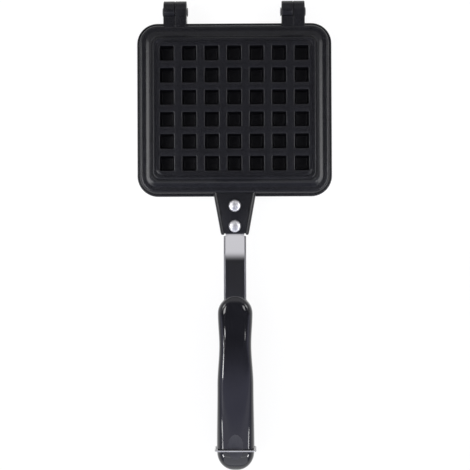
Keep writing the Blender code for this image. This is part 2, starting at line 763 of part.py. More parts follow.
def handle_stations(wall):
    """Distance, half width, top height and squareness along the shell's skin, or inside it by the wall."""
    stations = []
    nose = NOSE_RADIUS - wall
    for angle in NOSE_ANGLES:
        distance = wall + nose * (math.cos(NOSE_ANGLES[0]) - math.cos(angle))
        drop = 0
        if wall == 0 and distance < NOSE_ROUND:
            drop = NOSE_ROUND - math.sqrt(NOSE_ROUND**2 - (NOSE_ROUND - distance) ** 2)
        stations.append((distance, nose * math.sin(angle), NOSE_TOP - wall - drop, NOSE_SQUARENESS))
    ends = [NOSE_RADIUS, WAIST_DISTANCE, PALM_DISTANCE, CLASP_DISTANCE - CLASP_LEAD]
    for start, end in zip(ends, ends[1:]):
        for i in range(1, BODY_STEPS + 1):
            distance = mix(start, end, i / BODY_STEPS)
            half, top, squareness = handle_body(distance)
            stations.append((distance, half - wall, top - wall, squareness))
    seat = CLASP_DISTANCE - CLASP_LEAD + CLASP_STEP_RUN
    end = HANDLE_END_DISTANCE - wall
    places = [seat, CLASP_DISTANCE]
    reach = (end - DOME_DISTANCE) / math.sin(DOME_ANGLES[-1])
    places += [DOME_DISTANCE + reach * math.sin(angle) for angle in DOME_ANGLES]
    for distance in places:
        half, top = handle_tail(distance, wall)
        stations.append((distance, half, top, TAIL_SQUARENESS))
    return stations


def grip_arch(distance, half, top, squareness, steps):
    """The shell's cross section from its +X foot over the top to its -X foot, as a superellipse."""
    points = []
    power = 2 / squareness
    for i in range(steps + 1):
        angle = math.pi * i / steps
        across = math.copysign(abs(math.cos(angle)) ** power, math.cos(angle))
        up = abs(math.sin(angle)) ** power if 0 < i < steps else 0
        points.append((half * across, NOSE_Y - distance, HANDLE_LOW + (top - HANDLE_LOW) * up))
    return points


def join_arches(bm, rows):
    for first, second in zip(rows, rows[1:]):
        for i in range(len(first) - 1):
            bm.faces.new((first[i], first[i + 1], second[i + 1], second[i]))
    bm.faces.new(rows[0])
    bm.faces.new(rows[-1])


def open_shell():
    """The grip's skin and hollow, joined round the flat split face."""
    bm = bmesh.new()
    skin = [[bm.verts.new(p) for p in grip_arch(*row, SKIN_STEPS)] for row in handle_stations(0)]
    core = [[bm.verts.new(p) for p in grip_arch(*row, CORE_STEPS)] for row in handle_stations(HANDLE_WALL)]
    join_arches(bm, skin)
    join_arches(bm, core)
    for foot in (0, -1):
        for i in range(len(skin) - 1):
            bm.faces.new((skin[i][foot], skin[i + 1][foot], core[i + 1][foot], core[i][foot]))
    for end in (0, -1):
        bm.faces.new((skin[end][0], skin[end][-1], core[end][-1], core[end][0]))
    return finished_mesh(bm, "handle", curved=True)


def cross_web(distance):
    """A stiffening web across the hollow, sunk halfway into the wall all round."""
    sunk = HANDLE_WALL / 2
    half, top, squareness = handle_body(distance)
    bm = bmesh.new()
    rows = []
    for edge in (-1, 1):
        place = distance + edge * WEB_THICKNESS / 2
        arch = grip_arch(place, half - sunk, top - sunk, squareness, CORE_STEPS)
        rows.append([bm.verts.new((x, y, max(z, HANDLE_LOW + WEB_RELIEF))) for x, y, z in arch])
    join_rings(bm, rows[0], rows[1])
    bm.faces.new(rows[0])
    bm.faces.new(rows[1])
    return finished_mesh(bm, "web")


def screw_boss(y):
    top = handle_body(NOSE_Y - y)[1] - HANDLE_WALL / 2
    return rod(BOSS_RADIUS, SEAT_TOP + SEAT_GAP, top, SMALL_STEPS, "boss", centre=(0, y, 0))


def screw_socket(y):
    """Blind hole in the boss, a little longer than the screw."""
    top = SEAT_TOP + SEAT_GAP + SCREW_GRIP + SEAT_GAP
    return rod(SCREW_RADIUS + RUNNING_GAP, 0, top, SMALL_STEPS, "socket", centre=(0, y, 0))


def nose_notch():
    """Room for the strip under the nose, open to the split face."""
    half = STRIP_WIDTH / 2 + SEAT_GAP
    return box(
        (-half, NOSE_Y - NOSE_RADIUS, -OVERRUN),
        (half, NOSE_Y + OVERRUN, STRIP_TOP + SEAT_GAP),
        "notch",
    )


def thumb_recess():
    """Cutter for an oval bowl that follows the grip's back and meets it with a low step all round."""
    bm = bmesh.new()
    rim = [(DIMPLE_HALF_WIDTH * x, DIMPLE_HALF_LENGTH * y) for x, y in arc(0, 0, 1, 0, 360, DIMPLE_STEPS)[:-1]]
    rows = [ring(bm, rim, DOME_TOP + OVERRUN, (0, NOSE_Y - DIMPLE_DISTANCE))]
    for share in DIMPLE_ROW_SHARES:
        depth = mix(DIMPLE_DEPTH, DIMPLE_EDGE, share**2)
        row = []
        for x, y in rim:
            distance = DIMPLE_DISTANCE - y * share
            row.append(bm.verts.new((x * share, NOSE_Y - distance, tail_height(x * share, distance) - depth)))
        rows.append(row)
    for upper, lower in zip(rows, rows[1:]):
        join_rings(bm, upper, lower)
    floor = bm.verts.new((0, NOSE_Y - DIMPLE_DISTANCE, tail_height(0, DIMPLE_DISTANCE) - DIMPLE_DEPTH))
    for i in range(DIMPLE_STEPS):
        bm.faces.new((rows[-1][i - 1], rows[-1][i], floor))
    bm.faces.new(rows[0])
    return finished_mesh(bm, "recess", curved=True)


def clasp_holes():
    reach = DOME_RADIUS + OVERRUN
    radius = WIRE_RADIUS + WIRE_HOLE_GAP
    return rod(radius, -reach, reach, SMALL_STEPS, "clasp_holes", "X", (0, CLASP_Y, CLASP_PIVOT_DEPTH))


def handle_shell():
    webs = [cross_web(WEB_FIRST_DISTANCE + WEB_SPACING * i) for i in range(WEB_COUNT)]
    steps = [("UNION", web) for web in webs]
    steps += [("UNION", screw_boss(y)) for y in SCREW_PLACES]
    steps += [("DIFFERENCE", screw_socket(y)) for y in SCREW_PLACES]
    steps += [("DIFFERENCE", nose_notch()), ("DIFFERENCE", thumb_recess()), ("DIFFERENCE", clasp_holes())]
    return combine(open_shell(), steps)


# Wire clasp


def clasp_reach():
    """Radius of the clasp's cross bar about its pivot, clear of the dome wherever it swings."""
    furthest = DOME_TOP + CLASP_PIVOT_DEPTH
    for distance, _, top, _ in handle_stations(0):
        if distance >= CLASP_DISTANCE:
            furthest = max(furthest, math.hypot(distance - CLASP_DISTANCE, top + CLASP_PIVOT_DEPTH))
    return furthest + CLASP_GAP + WIRE_RADIUS


def clasp_wire():
    """A round wire bent to a square arch, its ends turned in to the pivot holes. The pivot is the origin."""
    leg = DOME_RADIUS + CLASP_GAP + WIRE_RADIUS
    reach = clasp_reach()
    turn = WIRE_BEND
    half = [(leg - CLASP_END_REACH, 0)]
    half += arc(leg - turn, turn, turn, 270, 360, WIRE_BEND_STEPS)
    half += arc(leg - turn, reach - turn, turn, 0, 90, WIRE_BEND_STEPS)
    line = half + [(-x, z) for x, z in reversed(half)]
    curve = bpy.data.curves.new("clasp_wire", "CURVE")
    curve.dimensions = "3D"
    curve.bevel_depth = WIRE_RADIUS
    curve.bevel_resolution = 2
    curve.use_fill_caps = True
    spline = curve.splines.new("POLY")
    spline.points.add(len(line) - 1)
    for point, (x, z) in zip(spline.points, line):
        point.co = (x, 0, z, 1)
    return curve


# Assembly


def clear_scene():
    for obj in list(bpy.data.objects):
        bpy.data.objects.remove(obj)


def material(name, colour, metallic, roughness):
    made = bpy.data.materials.new(name)
    made.use_nodes = True
    shader = made.node_tree.nodes["Principled BSDF"]
    shader.inputs["Base Color"].default_value = (*colour, 1)
    shader.inputs["Metallic"].default_value = metallic
    shader.inputs["Roughness"].default_value = roughness
    return made


def empty(name, place, turn=0):
    obj = bpy.data.objects.new(name, None)
    obj.location = place
    obj.rotation_euler = (0, turn, 0)
    bpy.context.scene.collection.objects.link(obj)
    return obj


def node(name, data, finish, parent, place=(0, 0, 0)):
    """A finished piece of the part. Copies share their data."""
    obj = bpy.data.objects.new(name, data)
    obj.location = place
    obj.parent = parent
    if not data.materials:
        data.materials.append(finish)
    bpy.context.scene.collection.objects.link(obj)
    return obj


def smooth(mesh):
    mesh.shade_smooth()
    mesh.set_sharp_from_angle(angle=SHARP_ANGLE)
    return mesh


def main():
    clear_scene()
    coating = material("black_coating", (0.03, 0.031, 0.034), 0.2, 0.5)
    steel = material("polished_steel", (0.72, 0.72, 0.73), 1, 0.14)
    aluminium = material("rivet_aluminium", (0.83, 0.83, 0.84), 1, 0.28)
    grip = material("black_grip", (0.02, 0.02, 0.023), 0, 0.16)
    zinc = material("plated_steel", (0.62, 0.62, 0.64), 1, 0.32)

    pan = smooth(pan_casting())
    strip = smooth(steel_strip())
    rivet = smooth(tang_rivet())
    handle = smooth(handle_shell())
    screw = smooth(handle_screw())
    pin = smooth(hinge_pin())

    upper = empty("upper_half", HINGE_PLACE)
    lower = empty("lower_half", HINGE_PLACE, math.pi)
    rivet_height = TANG_FLOOR_LOW + TANG_FLOOR_THICKNESS
    for side, half in (("upper", upper), ("lower", lower)):
        node(side + "_pan", pan, coating, half)
        node(side + "_bracket", strip, steel, half)
        node(side + "_handle", handle, grip, half)
        for place, rivet_y, screw_y in zip(("front", "rear"), RIVET_PLACES, reversed(SCREW_PLACES)):
            node(f"{side}_rivet_{place}", rivet, aluminium, half, (0, rivet_y, rivet_height))
            node(f"{side}_handle_screw_{place}", screw, zinc, half, (0, screw_y, SEAT_TOP - STRIP_THICKNESS))
    for side, x in (("left", LUG_X), ("right", -LUG_X)):
        node("hinge_pin_" + side, pin, zinc, lower, (x, 0, 0))
    pivot = empty("clasp_pivot", (0, HINGE_PLACE[1] + CLASP_Y, PAN_HEIGHT - CLASP_PIVOT_DEPTH))
    node("clasp_wire", clasp_wire(), steel, pivot)


main()
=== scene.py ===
import json
import math

import bmesh
import bpy
from mathutils import Matrix, Vector

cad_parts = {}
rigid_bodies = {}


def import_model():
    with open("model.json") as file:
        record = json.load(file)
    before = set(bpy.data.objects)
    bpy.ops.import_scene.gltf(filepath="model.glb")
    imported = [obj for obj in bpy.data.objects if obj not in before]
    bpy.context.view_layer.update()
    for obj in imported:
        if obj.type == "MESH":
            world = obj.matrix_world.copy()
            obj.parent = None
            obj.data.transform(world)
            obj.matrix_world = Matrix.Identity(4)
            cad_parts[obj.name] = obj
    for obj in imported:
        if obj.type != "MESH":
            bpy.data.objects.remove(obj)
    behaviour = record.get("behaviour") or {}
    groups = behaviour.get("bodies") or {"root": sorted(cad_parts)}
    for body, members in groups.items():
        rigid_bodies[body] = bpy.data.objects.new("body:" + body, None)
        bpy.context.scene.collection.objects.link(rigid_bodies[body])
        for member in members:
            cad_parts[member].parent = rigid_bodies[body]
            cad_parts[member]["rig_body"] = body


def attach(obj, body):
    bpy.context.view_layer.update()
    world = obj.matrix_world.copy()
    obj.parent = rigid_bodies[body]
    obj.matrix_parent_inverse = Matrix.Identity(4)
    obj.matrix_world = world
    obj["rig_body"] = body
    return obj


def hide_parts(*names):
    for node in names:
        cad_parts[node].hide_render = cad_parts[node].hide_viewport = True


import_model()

# The start-up file's own objects go
for stray in [o for o in bpy.data.objects if o.type != "EMPTY" and "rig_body" not in o]:
    bpy.data.objects.remove(stray)
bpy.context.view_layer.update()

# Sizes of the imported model, in metres. A half's pieces are made about the middle of the hinge
# axis: Y runs away from the handles and Z is the height over the parting plane.
HINGE = Vector((0, 0.1809, 0.016))
CLASP_PIVOT = Vector((0, -0.1723, 0.009))
SEAT_GAP = 0.0003
PARTING_GAP = 0.00015
WELD = 0.000001
SHARP_ANGLE = math.radians(35)

# Pan: its outline, and its rim and cavity as insets from the outline and heights
PAN_HALF_X = 0.0786
PAN_HALF_Y = 0.07005
PAN_CENTRE_Y = -0.07985
PAN_TOP = 0.016
INNER_FLOOR = 0.013
CORNER_RADIUS = 0.0165
LEAST_CORNER = 0.0055
CORNER_STEPS = 12
LIP_ROUND = 0.0006
LIP_INSET = 0.0016
LIP_TOP = 0.003
LEDGE_INSET = 0.0046
LEDGE_ROUND = 0.002
LEDGE_TOP = 0.0086
BAND_START = (0.0075, LEDGE_TOP)
BAND_END = (0.0108, 0.0098)
BAND_CURVE = 1.25
BAND_SHARES = (0.12, 0.25, 0.5, 0.75, 1)
COVE_GENTLE = math.radians(30)
COVE_STEEP = math.radians(78)
COVE_STEPS = 10
COVE_ROUND = 0.0006
SHOULDER_END = 0.0142
GROOVE_START = 0.0153
GROOVE_END = 0.0168
GROOVE_DEPTH = 0.0004
GROOVE_SLOPE = 0.0003
LAND_WIDTH = 0.006
CAVITY_INSET = 0.0078
CAVITY_ROUND = 0.001
CAVITY_EDGE = 0.0062
CAVITY_SLOPE = (0.0096, 0.0155)

# Waffle pits outside. The first strips of a pit's edge keep the field's coating; the walls and
# floor below take a darker, less glossy copy of it, which is painted shade in the pits.
PIT_COLUMNS = 7
PIT_ROWS = 6
PIT_PITCH = (0.01795, 0.01764)
PIT_HALF = (0.0061, 0.0064)
PIT_CORNER = 0.0012
PIT_CORNER_STEPS = 3
PIT_ROUND = 0.0008
PIT_ROUND_STEPS = 4
PIT_FLARE = 0.0002
PIT_DEPTH = 0.0075
PIT_FLOOR_INSET = 0.0022
PIT_FLOOR_ROUND = 0.0007
PIT_FLOOR_CORNER = 0.0009
PIT_UNSHADED_ROWS = 3

# The pits' pegs inside: inset, and height over the inner floor at the foot and over the tip
PEG_TIP = 0.0065
PEG_CORNER = 0.0015
PEG_FOOT = ((-0.0014, 0.0), (-0.001, -0.0001), (-0.0006, -0.0006))
PEG_END = ((0.0, 0.0009), (0.0001, 0.0005), (0.0004, 0.0001), (0.0009, 0.0))

# Hinge lugs: one half is a knuckle, the other leaves room for the other pan's knuckle
LUG_X = 0.0477
LUG_HALF = 0.00925
LUG_BACK = -0.0146
LUG_FRONT = -0.0048
LUG_TOP = 0.0083
LUG_LOW = 0.0003
LUG_EDGE = 0.0005
KNUCKLE_RADIUS = 0.00876
KNUCKLE_GAP = 0.0001
KNUCKLE_STEPS = 40
ROOM_RADIUS = 0.0094
ROOM_OVERLAP = 0.0009
ROOM_EDGE = 0.0002
ROOM_STEPS = 10

# Tang: half widths at its end and at the pan, and underside and top of its floor
TANG_END = -0.1809
TANG_LENGTH = 0.031
TANG_ROOT = 0.0048
TANG_SETBACK = 0.0011
TANG_HALF = (0.0112, 0.0168)
TANG_FLOOR = (0.0045, 0.0065)
TANG_FLOOR_MARGIN = 0.002
TANG_FLOOR_EDGE = 0.0005

# The tang's ribs: the lean is the round from the outer side to the crest, the inside is given
# beyond the rib's width with its height, and the ends as a distance and a share of the section
RIB_WIDTH = 0.0027
RIB_LOW = 0.0012
RIB_SIDE = 0.0044
RIB_LEAN = (0.0015, 0.0034)
RIB_LEAN_TURNS = (0.35, 0.7, 1.0, 1.25, 1.45)
RIB_INSIDE = (
    (-0.0002, 0.0074),
    (0.0, 0.0072),
    (0.0, 0.0069),
    (0.0002, 0.0067),
    (0.0007, 0.0064),
    (0.0007, 0.0046),
    (-0.0004, 0.0012),
)
RIB_ENDS = ((0.0, 0.5), (0.0003, 0.74), (0.0009, 0.92), (0.0016, 1.0))
RIB_END_HEIGHT = 0.004
RIB_END_SHARE = 0.35

# Hinge pins
PIN_SHANK = 0.0025
PIN_HEAD = 0.0035
PIN_EDGE = 0.0002
PIN_SIDE = 0.0004
PIN_DOME = 0.0005
PIN_STEPS = 40

# Rivets, with the upset tail as radius and height from the top of the tang's floor
RIVET_PLACES = (-0.174, -0.1575)
RIVET_SHANK = 0.0024
RIVET_HEAD = 0.005
RIVET_EDGE = 0.0002
RIVET_DOME = 0.0022
RIVET_DOME_STEPS = 15
RIVET_STEPS = 56
RIVET_TAIL = (
    (0, -0.0054),
    (0.0032, -0.0054),
    (0.0036, -0.0052),
    (0.0038, -0.0049),
    (0.0038, -0.0041),
)

# Handle screws. The cross recess is given at its mouth and at its bottom, as half length, half
# width, corner and height.
SCREW_PLACES = (-0.2849, -0.2589)
SCREW_HEAD = 0.0032
SCREW_HEAD_LOW = -0.0021
SCREW_DOME = 0.0009
SCREW_SHANK = 0.0016
SCREW_SHANK_END = 0.0047
SCREW_POINT = 0.0063
SCREW_STEPS = 40
SCREW_RECESS = ((0.0019, 0.00045, 0.000225, -0.0031), (0.0009, 0.0003, 0.0001, -0.0008))

# Steel strip: a tongue under the tang, then a channel that climbs, runs level and dips into
# the grip. The flanges are given at the foot and at the top of the climb, and the start's
# corners as a run and a narrowing. Faces that look sideways more than the limit below are
# rougher and painted darker: painted shade on the strip's bends.
TONGUE_HALF = 0.0075
TONGUE_TOP = 0.0042
STRIP_METAL = 0.0015
STRIP_HALF = 0.009
STRIP_BEND = 0.0014
STRIP_BEND_STEPS = 8
STRIP_FLAT_SHARE = 0.97
STRIP_EDGE = 0.0012
STRIP_FLANGES = (0.0029, 0.0045)
STRIP_RISE = 0.0044
STRIP_DIP = 0.0036
STRIP_INSIDE_TOP = TONGUE_TOP + STRIP_RISE - STRIP_DIP
STRIP_NECK = 0.0009
STRIP_NECK_STEP = 0.0003
STRIP_SLOPE_RUN = 0.0247
STRIP_SLOPE_STEPS = 18
STRIP_STRAIGHT = 0.603
STRIP_INSIDE_FLAT = 0.0055
STRIP_DIP_RUN = 0.011
STRIP_DIP_STEPS = 12
STRIP_START = 0.028
STRIP_START_CORNERS = ((0, STRIP_EDGE), (0.0004, 0.0005), (STRIP_EDGE, 0))
STRIP_END = 0.0625
STRIP_END_ROUND = 0.0025
STRIP_DULL_AND_SHADED = 0.05

# Grip: distances run back from the nose. A body place is a distance, a half width and a
# squareness of the section.
CLASP_DISTANCE = 0.1229
CLASP_LEAD = 0.0014
CLASP_STEP = 0.0003
NOSE = -0.2303
NOSE_RADIUS = 0.01405
NOSE_SQUARENESS = 4.5
NOSE_TOP = 0.0136
NOSE_ROUND = (0.0072, 0.0025)
NOSE_TURNS = (9, 13, 17, 21, 25, 30, 35, 40, 46, 52, 58, 64, 72, 81, 90)
BODY_TOP = 0.0146
BODY_STEPS = 72
TAIL_SQUARENESS = 3.4
BODY_PLACES = (
    (NOSE_RADIUS, NOSE_RADIUS, NOSE_SQUARENESS),
    (0.0394, 0.01296, 5.0),
    (0.0716, 0.0146, 4.6),
    (CLASP_DISTANCE, 0.0152, TAIL_SQUARENESS),
)
WALL = 0.0026
HANDLE_LOW = 0.0003
DOME_DISTANCE = 0.1253
DOME_RADIUS = 0.015
DOME_TOP = 0.014
DOME_CUT = math.radians(82)
DOME_STEPS = 22
ARCH_STEPS = 48
NOTCH_HALF_HEIGHT = 0.008
NOTCH_MIDDLE = 0.0009
NOTCH_CORNER = 0.0004
NOTCH_LEAD = 0.002
WEB_PLACES = (0.0735, 0.087, 0.1005)
WEB_METAL = 0.0016
WEB_LIFT = 0.0012
WEB_STEPS = 24
BOSS_RADIUS = 0.0042
BOSS_STEPS = 32

# Thumb recess near the grip's end: its cutter narrows downwards by the shares. The floor is
# matte and painted lighter, a painted sheen, from just below the edge's step, and is told from the
# grip's other faces by the limit.
RECESS_DISTANCE = 0.1201
RECESS_HALF = (0.0064, 0.0102)
RECESS_DEPTH = 0.001
RECESS_EDGE = 0.0001
RECESS_CLEAR = 0.002
RECESS_STEPS = 72
RECESS_SHARES = (1, 0.97, 0.9, 0.8, 0.68, 0.54, 0.38, 0.2)
RECESS_LIMIT = 1.001
RECESS_LEAST_HEIGHT = 0.009

# Wire clasp and its pivot holes in the grips
WIRE_RADIUS = 0.00075
WIRE_HOLE = 0.00115
WIRE_HOLE_HEIGHT = 0.007
WIRE_HOLE_REACH = 0.017
WIRE_HOLE_STEPS = 24
WIRE_BEND = 0.0019
WIRE_BEND_STEPS = 10
CLASP_LEG = 0.01595
CLASP_REACH = 0.02199
CLASP_FOOT = 0.0052

# Materials. Coating, and the same coating painted darker as shade in the pits: name, darkest and
# lightest colour, specular level, roughness.
COATING_AND_PIT_SHADE = (
    ("coating", (0.0042, 0.0043, 0.0056), (0.0068, 0.0069, 0.0088), 0.25, (0.25, 0.33)),
    # the pits: the field's coating painted darker and less glossy, a painted shade in the hollows
    ("pit_coating", (0.0022, 0.0022, 0.0028), (0.0035, 0.0035, 0.0044), 0.06, (0.45, 0.55)),
)
# Metal: name, colour, roughness, fineness of the drawing lines along each axis, their depth
METALS = (
    ("strip_steel", (0.70, 0.70, 0.715), (0.05, 0.09), (1400, 30, 1400), 0.00003),
    # the strip's bends: the same steel, rougher and painted dark, a painted shade
    ("strip_edge", (0.20, 0.20, 0.21), (0.42, 0.55), (500, 60, 500), 0.00003),
    ("wire_steel", (0.44, 0.44, 0.45), (0.16, 0.28), (60, 900, 900), 0.00003),
    ("rivet_metal", (0.56, 0.56, 0.57), (0.28, 0.50), (1000, 1000, 1000), 0.0003),
    ("screw_metal", (0.55, 0.55, 0.57), (0.22, 0.38), (900, 900, 900), 0.00003),
    ("pin_metal", (0.16, 0.16, 0.17), (0.30, 0.45), (900, 900, 900), 0.00003),
)
# Grip: name, darkest and lightest colour, roughness, strength of the fine grain
GRIPS = (
    ("grip_gloss", (0.0095, 0.0095, 0.0117), (0.0124, 0.0124, 0.0151), (0.03, 0.055), 0.0),
    # the recess floor: the same moulding, rougher, and painted lighter as a painted sheen
    ("grip_matte", (0.021, 0.021, 0.027), (0.029, 0.029, 0.036), (0.30, 0.40), 0.3),
)

# Camera
CAMERA_DISTANCE = 0.95
CAMERA_TARGET = (0.0, -0.0002, 0.016)
CAMERA_LEAN = (0.010, -0.012)
CAMERA_ROLL = math.radians(-0.22)
FRAME_WIDTH = 0.3807
SENSOR = 36.0

# Floor: a white sweep, mostly a glow where it is seen or mirrored
FLOOR_HALF = 6
FLOOR_DROP = 0.0005
FLOOR_COLOUR = (0.9, 0.9, 0.9)
FLOOR_GLOW = 1.03
FLOOR_GLOW_SHARE = 0.88

# World: directions are given as X and Y over Z. The horizon takes over from the dim zenith
# between its two distances. A panel is the four steps of its soft edges in X, the same in Y,
# and its colour, and it covers the panels before it.
LEAST_HEIGHT = 0.05
ZENITH = (0.030, 0.030, 0.034)
HORIZON = (0.55, 0.55, 0.57)
HORIZON_EDGE = (1.3, 1.9)
PANELS = (
    ((-6.0, -5.0, 5.0, 6.0), (-30.0, -20.0, -0.40, -0.30), (0.40, 0.42, 0.56)),
    ((-4.0, -3.0, 3.0, 4.0), (-0.34, -0.26, -0.108, -0.058), (0.63, 0.63, 0.88)),
    ((-4.0, -3.0, 3.0, 4.0), (-0.24, -0.20, -0.150, -0.122), (0.95, 0.95, 1.18)),
    ((-2.2, -1.5, 1.5, 2.2), (0.10, 0.50, 1.5, 2.0), (0.84, 0.83, 0.86)),
)

# Lamps in line with the strip and the grip: name, X, Y, length along Y, height, radiance
ROW_HEIGHT = 1.02
ROW_AIM = 0.02
ROW_LAMPS = (
    ("left_nose", -0.44, -0.049, 0.098, 0.26, 8),
    ("left_waist", -0.37, -0.1355, 0.0165, 0.09, 17),
    ("left_long", -0.70, -0.190, 0.046, 0.20, 20),
    ("left_far", -0.75, -0.265, 0.12, 0.12, 1.2),
    ("left_low", -1.20, -0.412, 0.030, 0.30, 12),
    ("right_nose", 0.26, -0.039, 0.078, 0.18, 6),
    ("right_waist", 0.32, -0.139, 0.014, 0.07, 8),
    ("right_low", 1.20, -0.426, 0.012, 0.30, 12),
)
# Other lamps: name, place, aim, length, height, radiance, whole angle of the beam in degrees
LAMPS = (
    ("left_tail", (-1.15, -1.05, 1.02), (0, -0.180, 0.02), 0.40, 0.25, 20, 180),
    ("right_tail", (1.15, -1.05, 1.02), (0, -0.180, 0.02), 0.40, 0.25, 20, 180),
    ("left_side", (-0.50, 0.155, 0.50), (-0.07, 0.145, 0.012), 0.23, 0.35, 15, 40),
    ("right_side", (0.50, 0.155, 0.50), (0.07, 0.145, 0.012), 0.23, 0.35, 13, 40),
    ("left_corner", (-0.19, 0.0, 0.16), (-0.065, 0.045, 0.012), 0.11, 0.10, 12, 44),
    ("right_corner", (0.19, 0.0, 0.16), (0.065, 0.045, 0.012), 0.11, 0.10, 10, 44),
    ("tail_top", (0, -0.253, 0.168), (0, -0.18, 0.02), 0.30, 0.062, 0.9, 180),
    ("tail_panel", (0, -0.483, 0.195), (0, -0.18, 0.02), 0.50, 0.33, 1.1, 180),
)


# Outlines and meshes


def mix(first, second, share):
    return first + (second - first) * share


def smoothstep(share):
    """An S from 0 to 1 that starts and ends level."""
    held = min(max(share, 0), 1)
    return held * held * (3 - 2 * held)


def arc(across, up, radius, start, end, steps):
    """Points on a round, with the angles in degrees."""
    turns = [math.radians(mix(start, end, i / steps)) for i in range(steps + 1)]
    return [(across + radius * math.cos(turn), up + radius * math.sin(turn)) for turn in turns]


def slope(start, end, steps):
    """An S between two points, level at both, without its first point."""
    shares = [i / steps for i in range(1, steps + 1)]
    return [(mix(start[0], end[0], s), mix(start[1], end[1], smoothstep(s))) for s in shares]


def rounded_rectangle(half_x, half_y, radius, steps):
    x, y = half_x - radius, half_y - radius
    points = []
    for centre_x, centre_y, start in ((x, y, 0), (-x, y, 90), (-x, -y, 180), (x, -y, 270)):
        points += arc(centre_x, centre_y, radius, start, start + 90, steps)
    return points


def ring(bm, outline, height, centre=(0, 0)):
    return [bm.verts.new((centre[0] + x, centre[1] + y, height)) for x, y in outline]


def join_rings(bm, first, second):
    for i in range(len(first)):
        bm.faces.new((first[i - 1], first[i], second[i], second[i - 1]))


def skin_rows(bm, rows, capped=True):
    """Faces along a run of closed rows of vertices."""
    for first, second in zip(rows, rows[1:]):
        join_rings(bm, first, second)
    if capped:
        bm.faces.new(rows[0])
        bm.faces.new(rows[-1])


def ring_edges(bm, row):
    pairs = [(row[i], row[i - 1]) for i in range(len(row))]
    return [bm.edges.get(pair) or bm.edges.new(pair) for pair in pairs]


def fill_plate(bm, border, holes):
    edges = ring_edges(bm, border)
    for hole in holes:
        edges += ring_edges(bm, hole)
    bmesh.ops.triangle_fill(bm, use_beauty=True, use_dissolve=False, edges=edges)


def finished(bm, name, triangles=False):
    """The mesh with its faces out, shaded smooth except over sharp edges."""
    bmesh.ops.recalc_face_normals(bm, faces=bm.faces)
    if triangles:
        bmesh.ops.triangulate(bm, faces=bm.faces)
    mesh = bpy.data.meshes.new(name)
    bm.to_mesh(mesh)
    bm.free()
    return smooth(mesh)


def smooth(mesh):
    mesh.shade_smooth()
    mesh.set_sharp_from_angle(angle=SHARP_ANGLE)
    return mesh


def shrunk(outline, distance):
    """The anticlockwise outline moved inwards, with its corners mitred."""
    points = []
    for i, (x, y) in enumerate(outline):
        before, after = Vector(outline[i - 1]), Vector(outline[(i + 1) % len(outline)])
        here = Vector((x, y))
        first, second = (here - before).normalized(), (after - here).normalized()
        inward = [Vector((-way.y, way.x)) for way in (first, second)]
        shift = (inward[0] + inward[1]) * (distance / (1 + inward[0].dot(inward[1])))
        points.append((x + shift.x, y + shift.y))
    return points


def upright(x, y, level):
    return (x, y, level)


def sideways(y, z, level):
    return (level, y, z)


def rounded_prism(bm, outline, low, high, edge, stand, steps=3):
    """A prism with both its rims rounded. Stand turns a point and a level into coordinates."""
    rows = []
    for rim, way in ((low, 1), (high, -1)):
        turns = [i * math.pi / 2 / steps for i in range(steps + 1)]
        rims = [(edge * (1 - math.sin(t)), rim + way * edge * (1 - math.cos(t))) for t in turns]
        for inset, level in rims[::way]:
            rows.append([bm.verts.new(stand(*p, level)) for p in shrunk(outline, inset)])
    skin_rows(bm, rows)


def turned(profile, steps, name, axis="Z"):
    """A profile of radius and height turned about an axis through the origin."""
    bm = bmesh.new()
    row = [bm.verts.new((radius, 0, height)) for radius, height in profile]
    geom = row + [bm.edges.new(pair) for pair in zip(row, row[1:])]
    bmesh.ops.spin(
        bm, geom=geom, axis=(0, 0, 1), cent=(0, 0, 0), angle=math.tau, steps=steps, use_merge=True
    )
    bmesh.ops.remove_doubles(bm, verts=bm.verts, dist=WELD)
    if axis == "X":
        matrix = Matrix.Rotation(math.pi / 2, 4, "Y")
        bmesh.ops.transform(bm, matrix=matrix, verts=bm.verts)
    return finished(bm, name)


def combine(mesh, steps):
    """The mesh after a row of Booleans, each an operation with its tool mesh."""
    base = bpy.data.objects.new(mesh.name, mesh)
    bpy.context.scene.collection.objects.link(base)
    tools = []
    for operation, tool in steps:
        tools.append(bpy.data.objects.new(tool.name, tool))
        bpy.context.scene.collection.objects.link(tools[-1])
        modifier = base.modifiers.new(tool.name, "BOOLEAN")
        modifier.operation = operation
        modifier.solver = "EXACT"
        modifier.object = tools[-1]
    graph = bpy.context.evaluated_depsgraph_get()
    result = bpy.data.meshes.new_from_object(base.evaluated_get(graph))
    result.name = mesh.name
    for obj in [base] + tools:
        bpy.data.objects.remove(obj)
    return result


# Pan casting


def pan_row(bm, inset, height):
    radius = max(CORNER_RADIUS - inset, LEAST_CORNER)
    half_x, half_y = PAN_HALF_X - inset, PAN_HALF_Y - inset
    return ring(bm, rounded_rectangle(half_x, half_y, radius, CORNER_STEPS), height)


def cove():
    """The ledge, the gently sloped band and the steep hollow sweep, with a tight round on top."""
    points = slope((LEDGE_INSET, LEDGE_TOP), BAND_START, 3)
    for share in BAND_SHARES:
        height = mix(BAND_START[1], BAND_END[1], share**BAND_CURVE)
        points.append((mix(BAND_START[0], BAND_END[0], share), height))
    run = SHOULDER_END - COVE_ROUND - BAND_END[0]
    rise = PAN_TOP - BAND_END[1] - COVE_ROUND * (1 - math.cos(COVE_STEEP))
    widest = math.sin(COVE_STEEP) - math.sin(COVE_GENTLE)
    highest = math.cos(COVE_GENTLE) - math.cos(COVE_STEEP)
    for i in range(1, COVE_STEPS + 1):
        turn = mix(COVE_GENTLE, COVE_STEEP, i / COVE_STEPS)
        across = (math.sin(turn) - math.sin(COVE_GENTLE)) / widest
        up = (math.cos(COVE_GENTLE) - math.cos(turn)) / highest
        points.append((BAND_END[0] + run * across, BAND_END[1] + rise * up))
    for share in (0.75, 0.5, 0.25, 0):
        turn = COVE_STEEP * share
        across = SHOULDER_END - COVE_ROUND * math.sin(turn) / math.sin(COVE_STEEP)
        points.append((across, PAN_TOP - COVE_ROUND * (1 - math.cos(turn))))
    return points


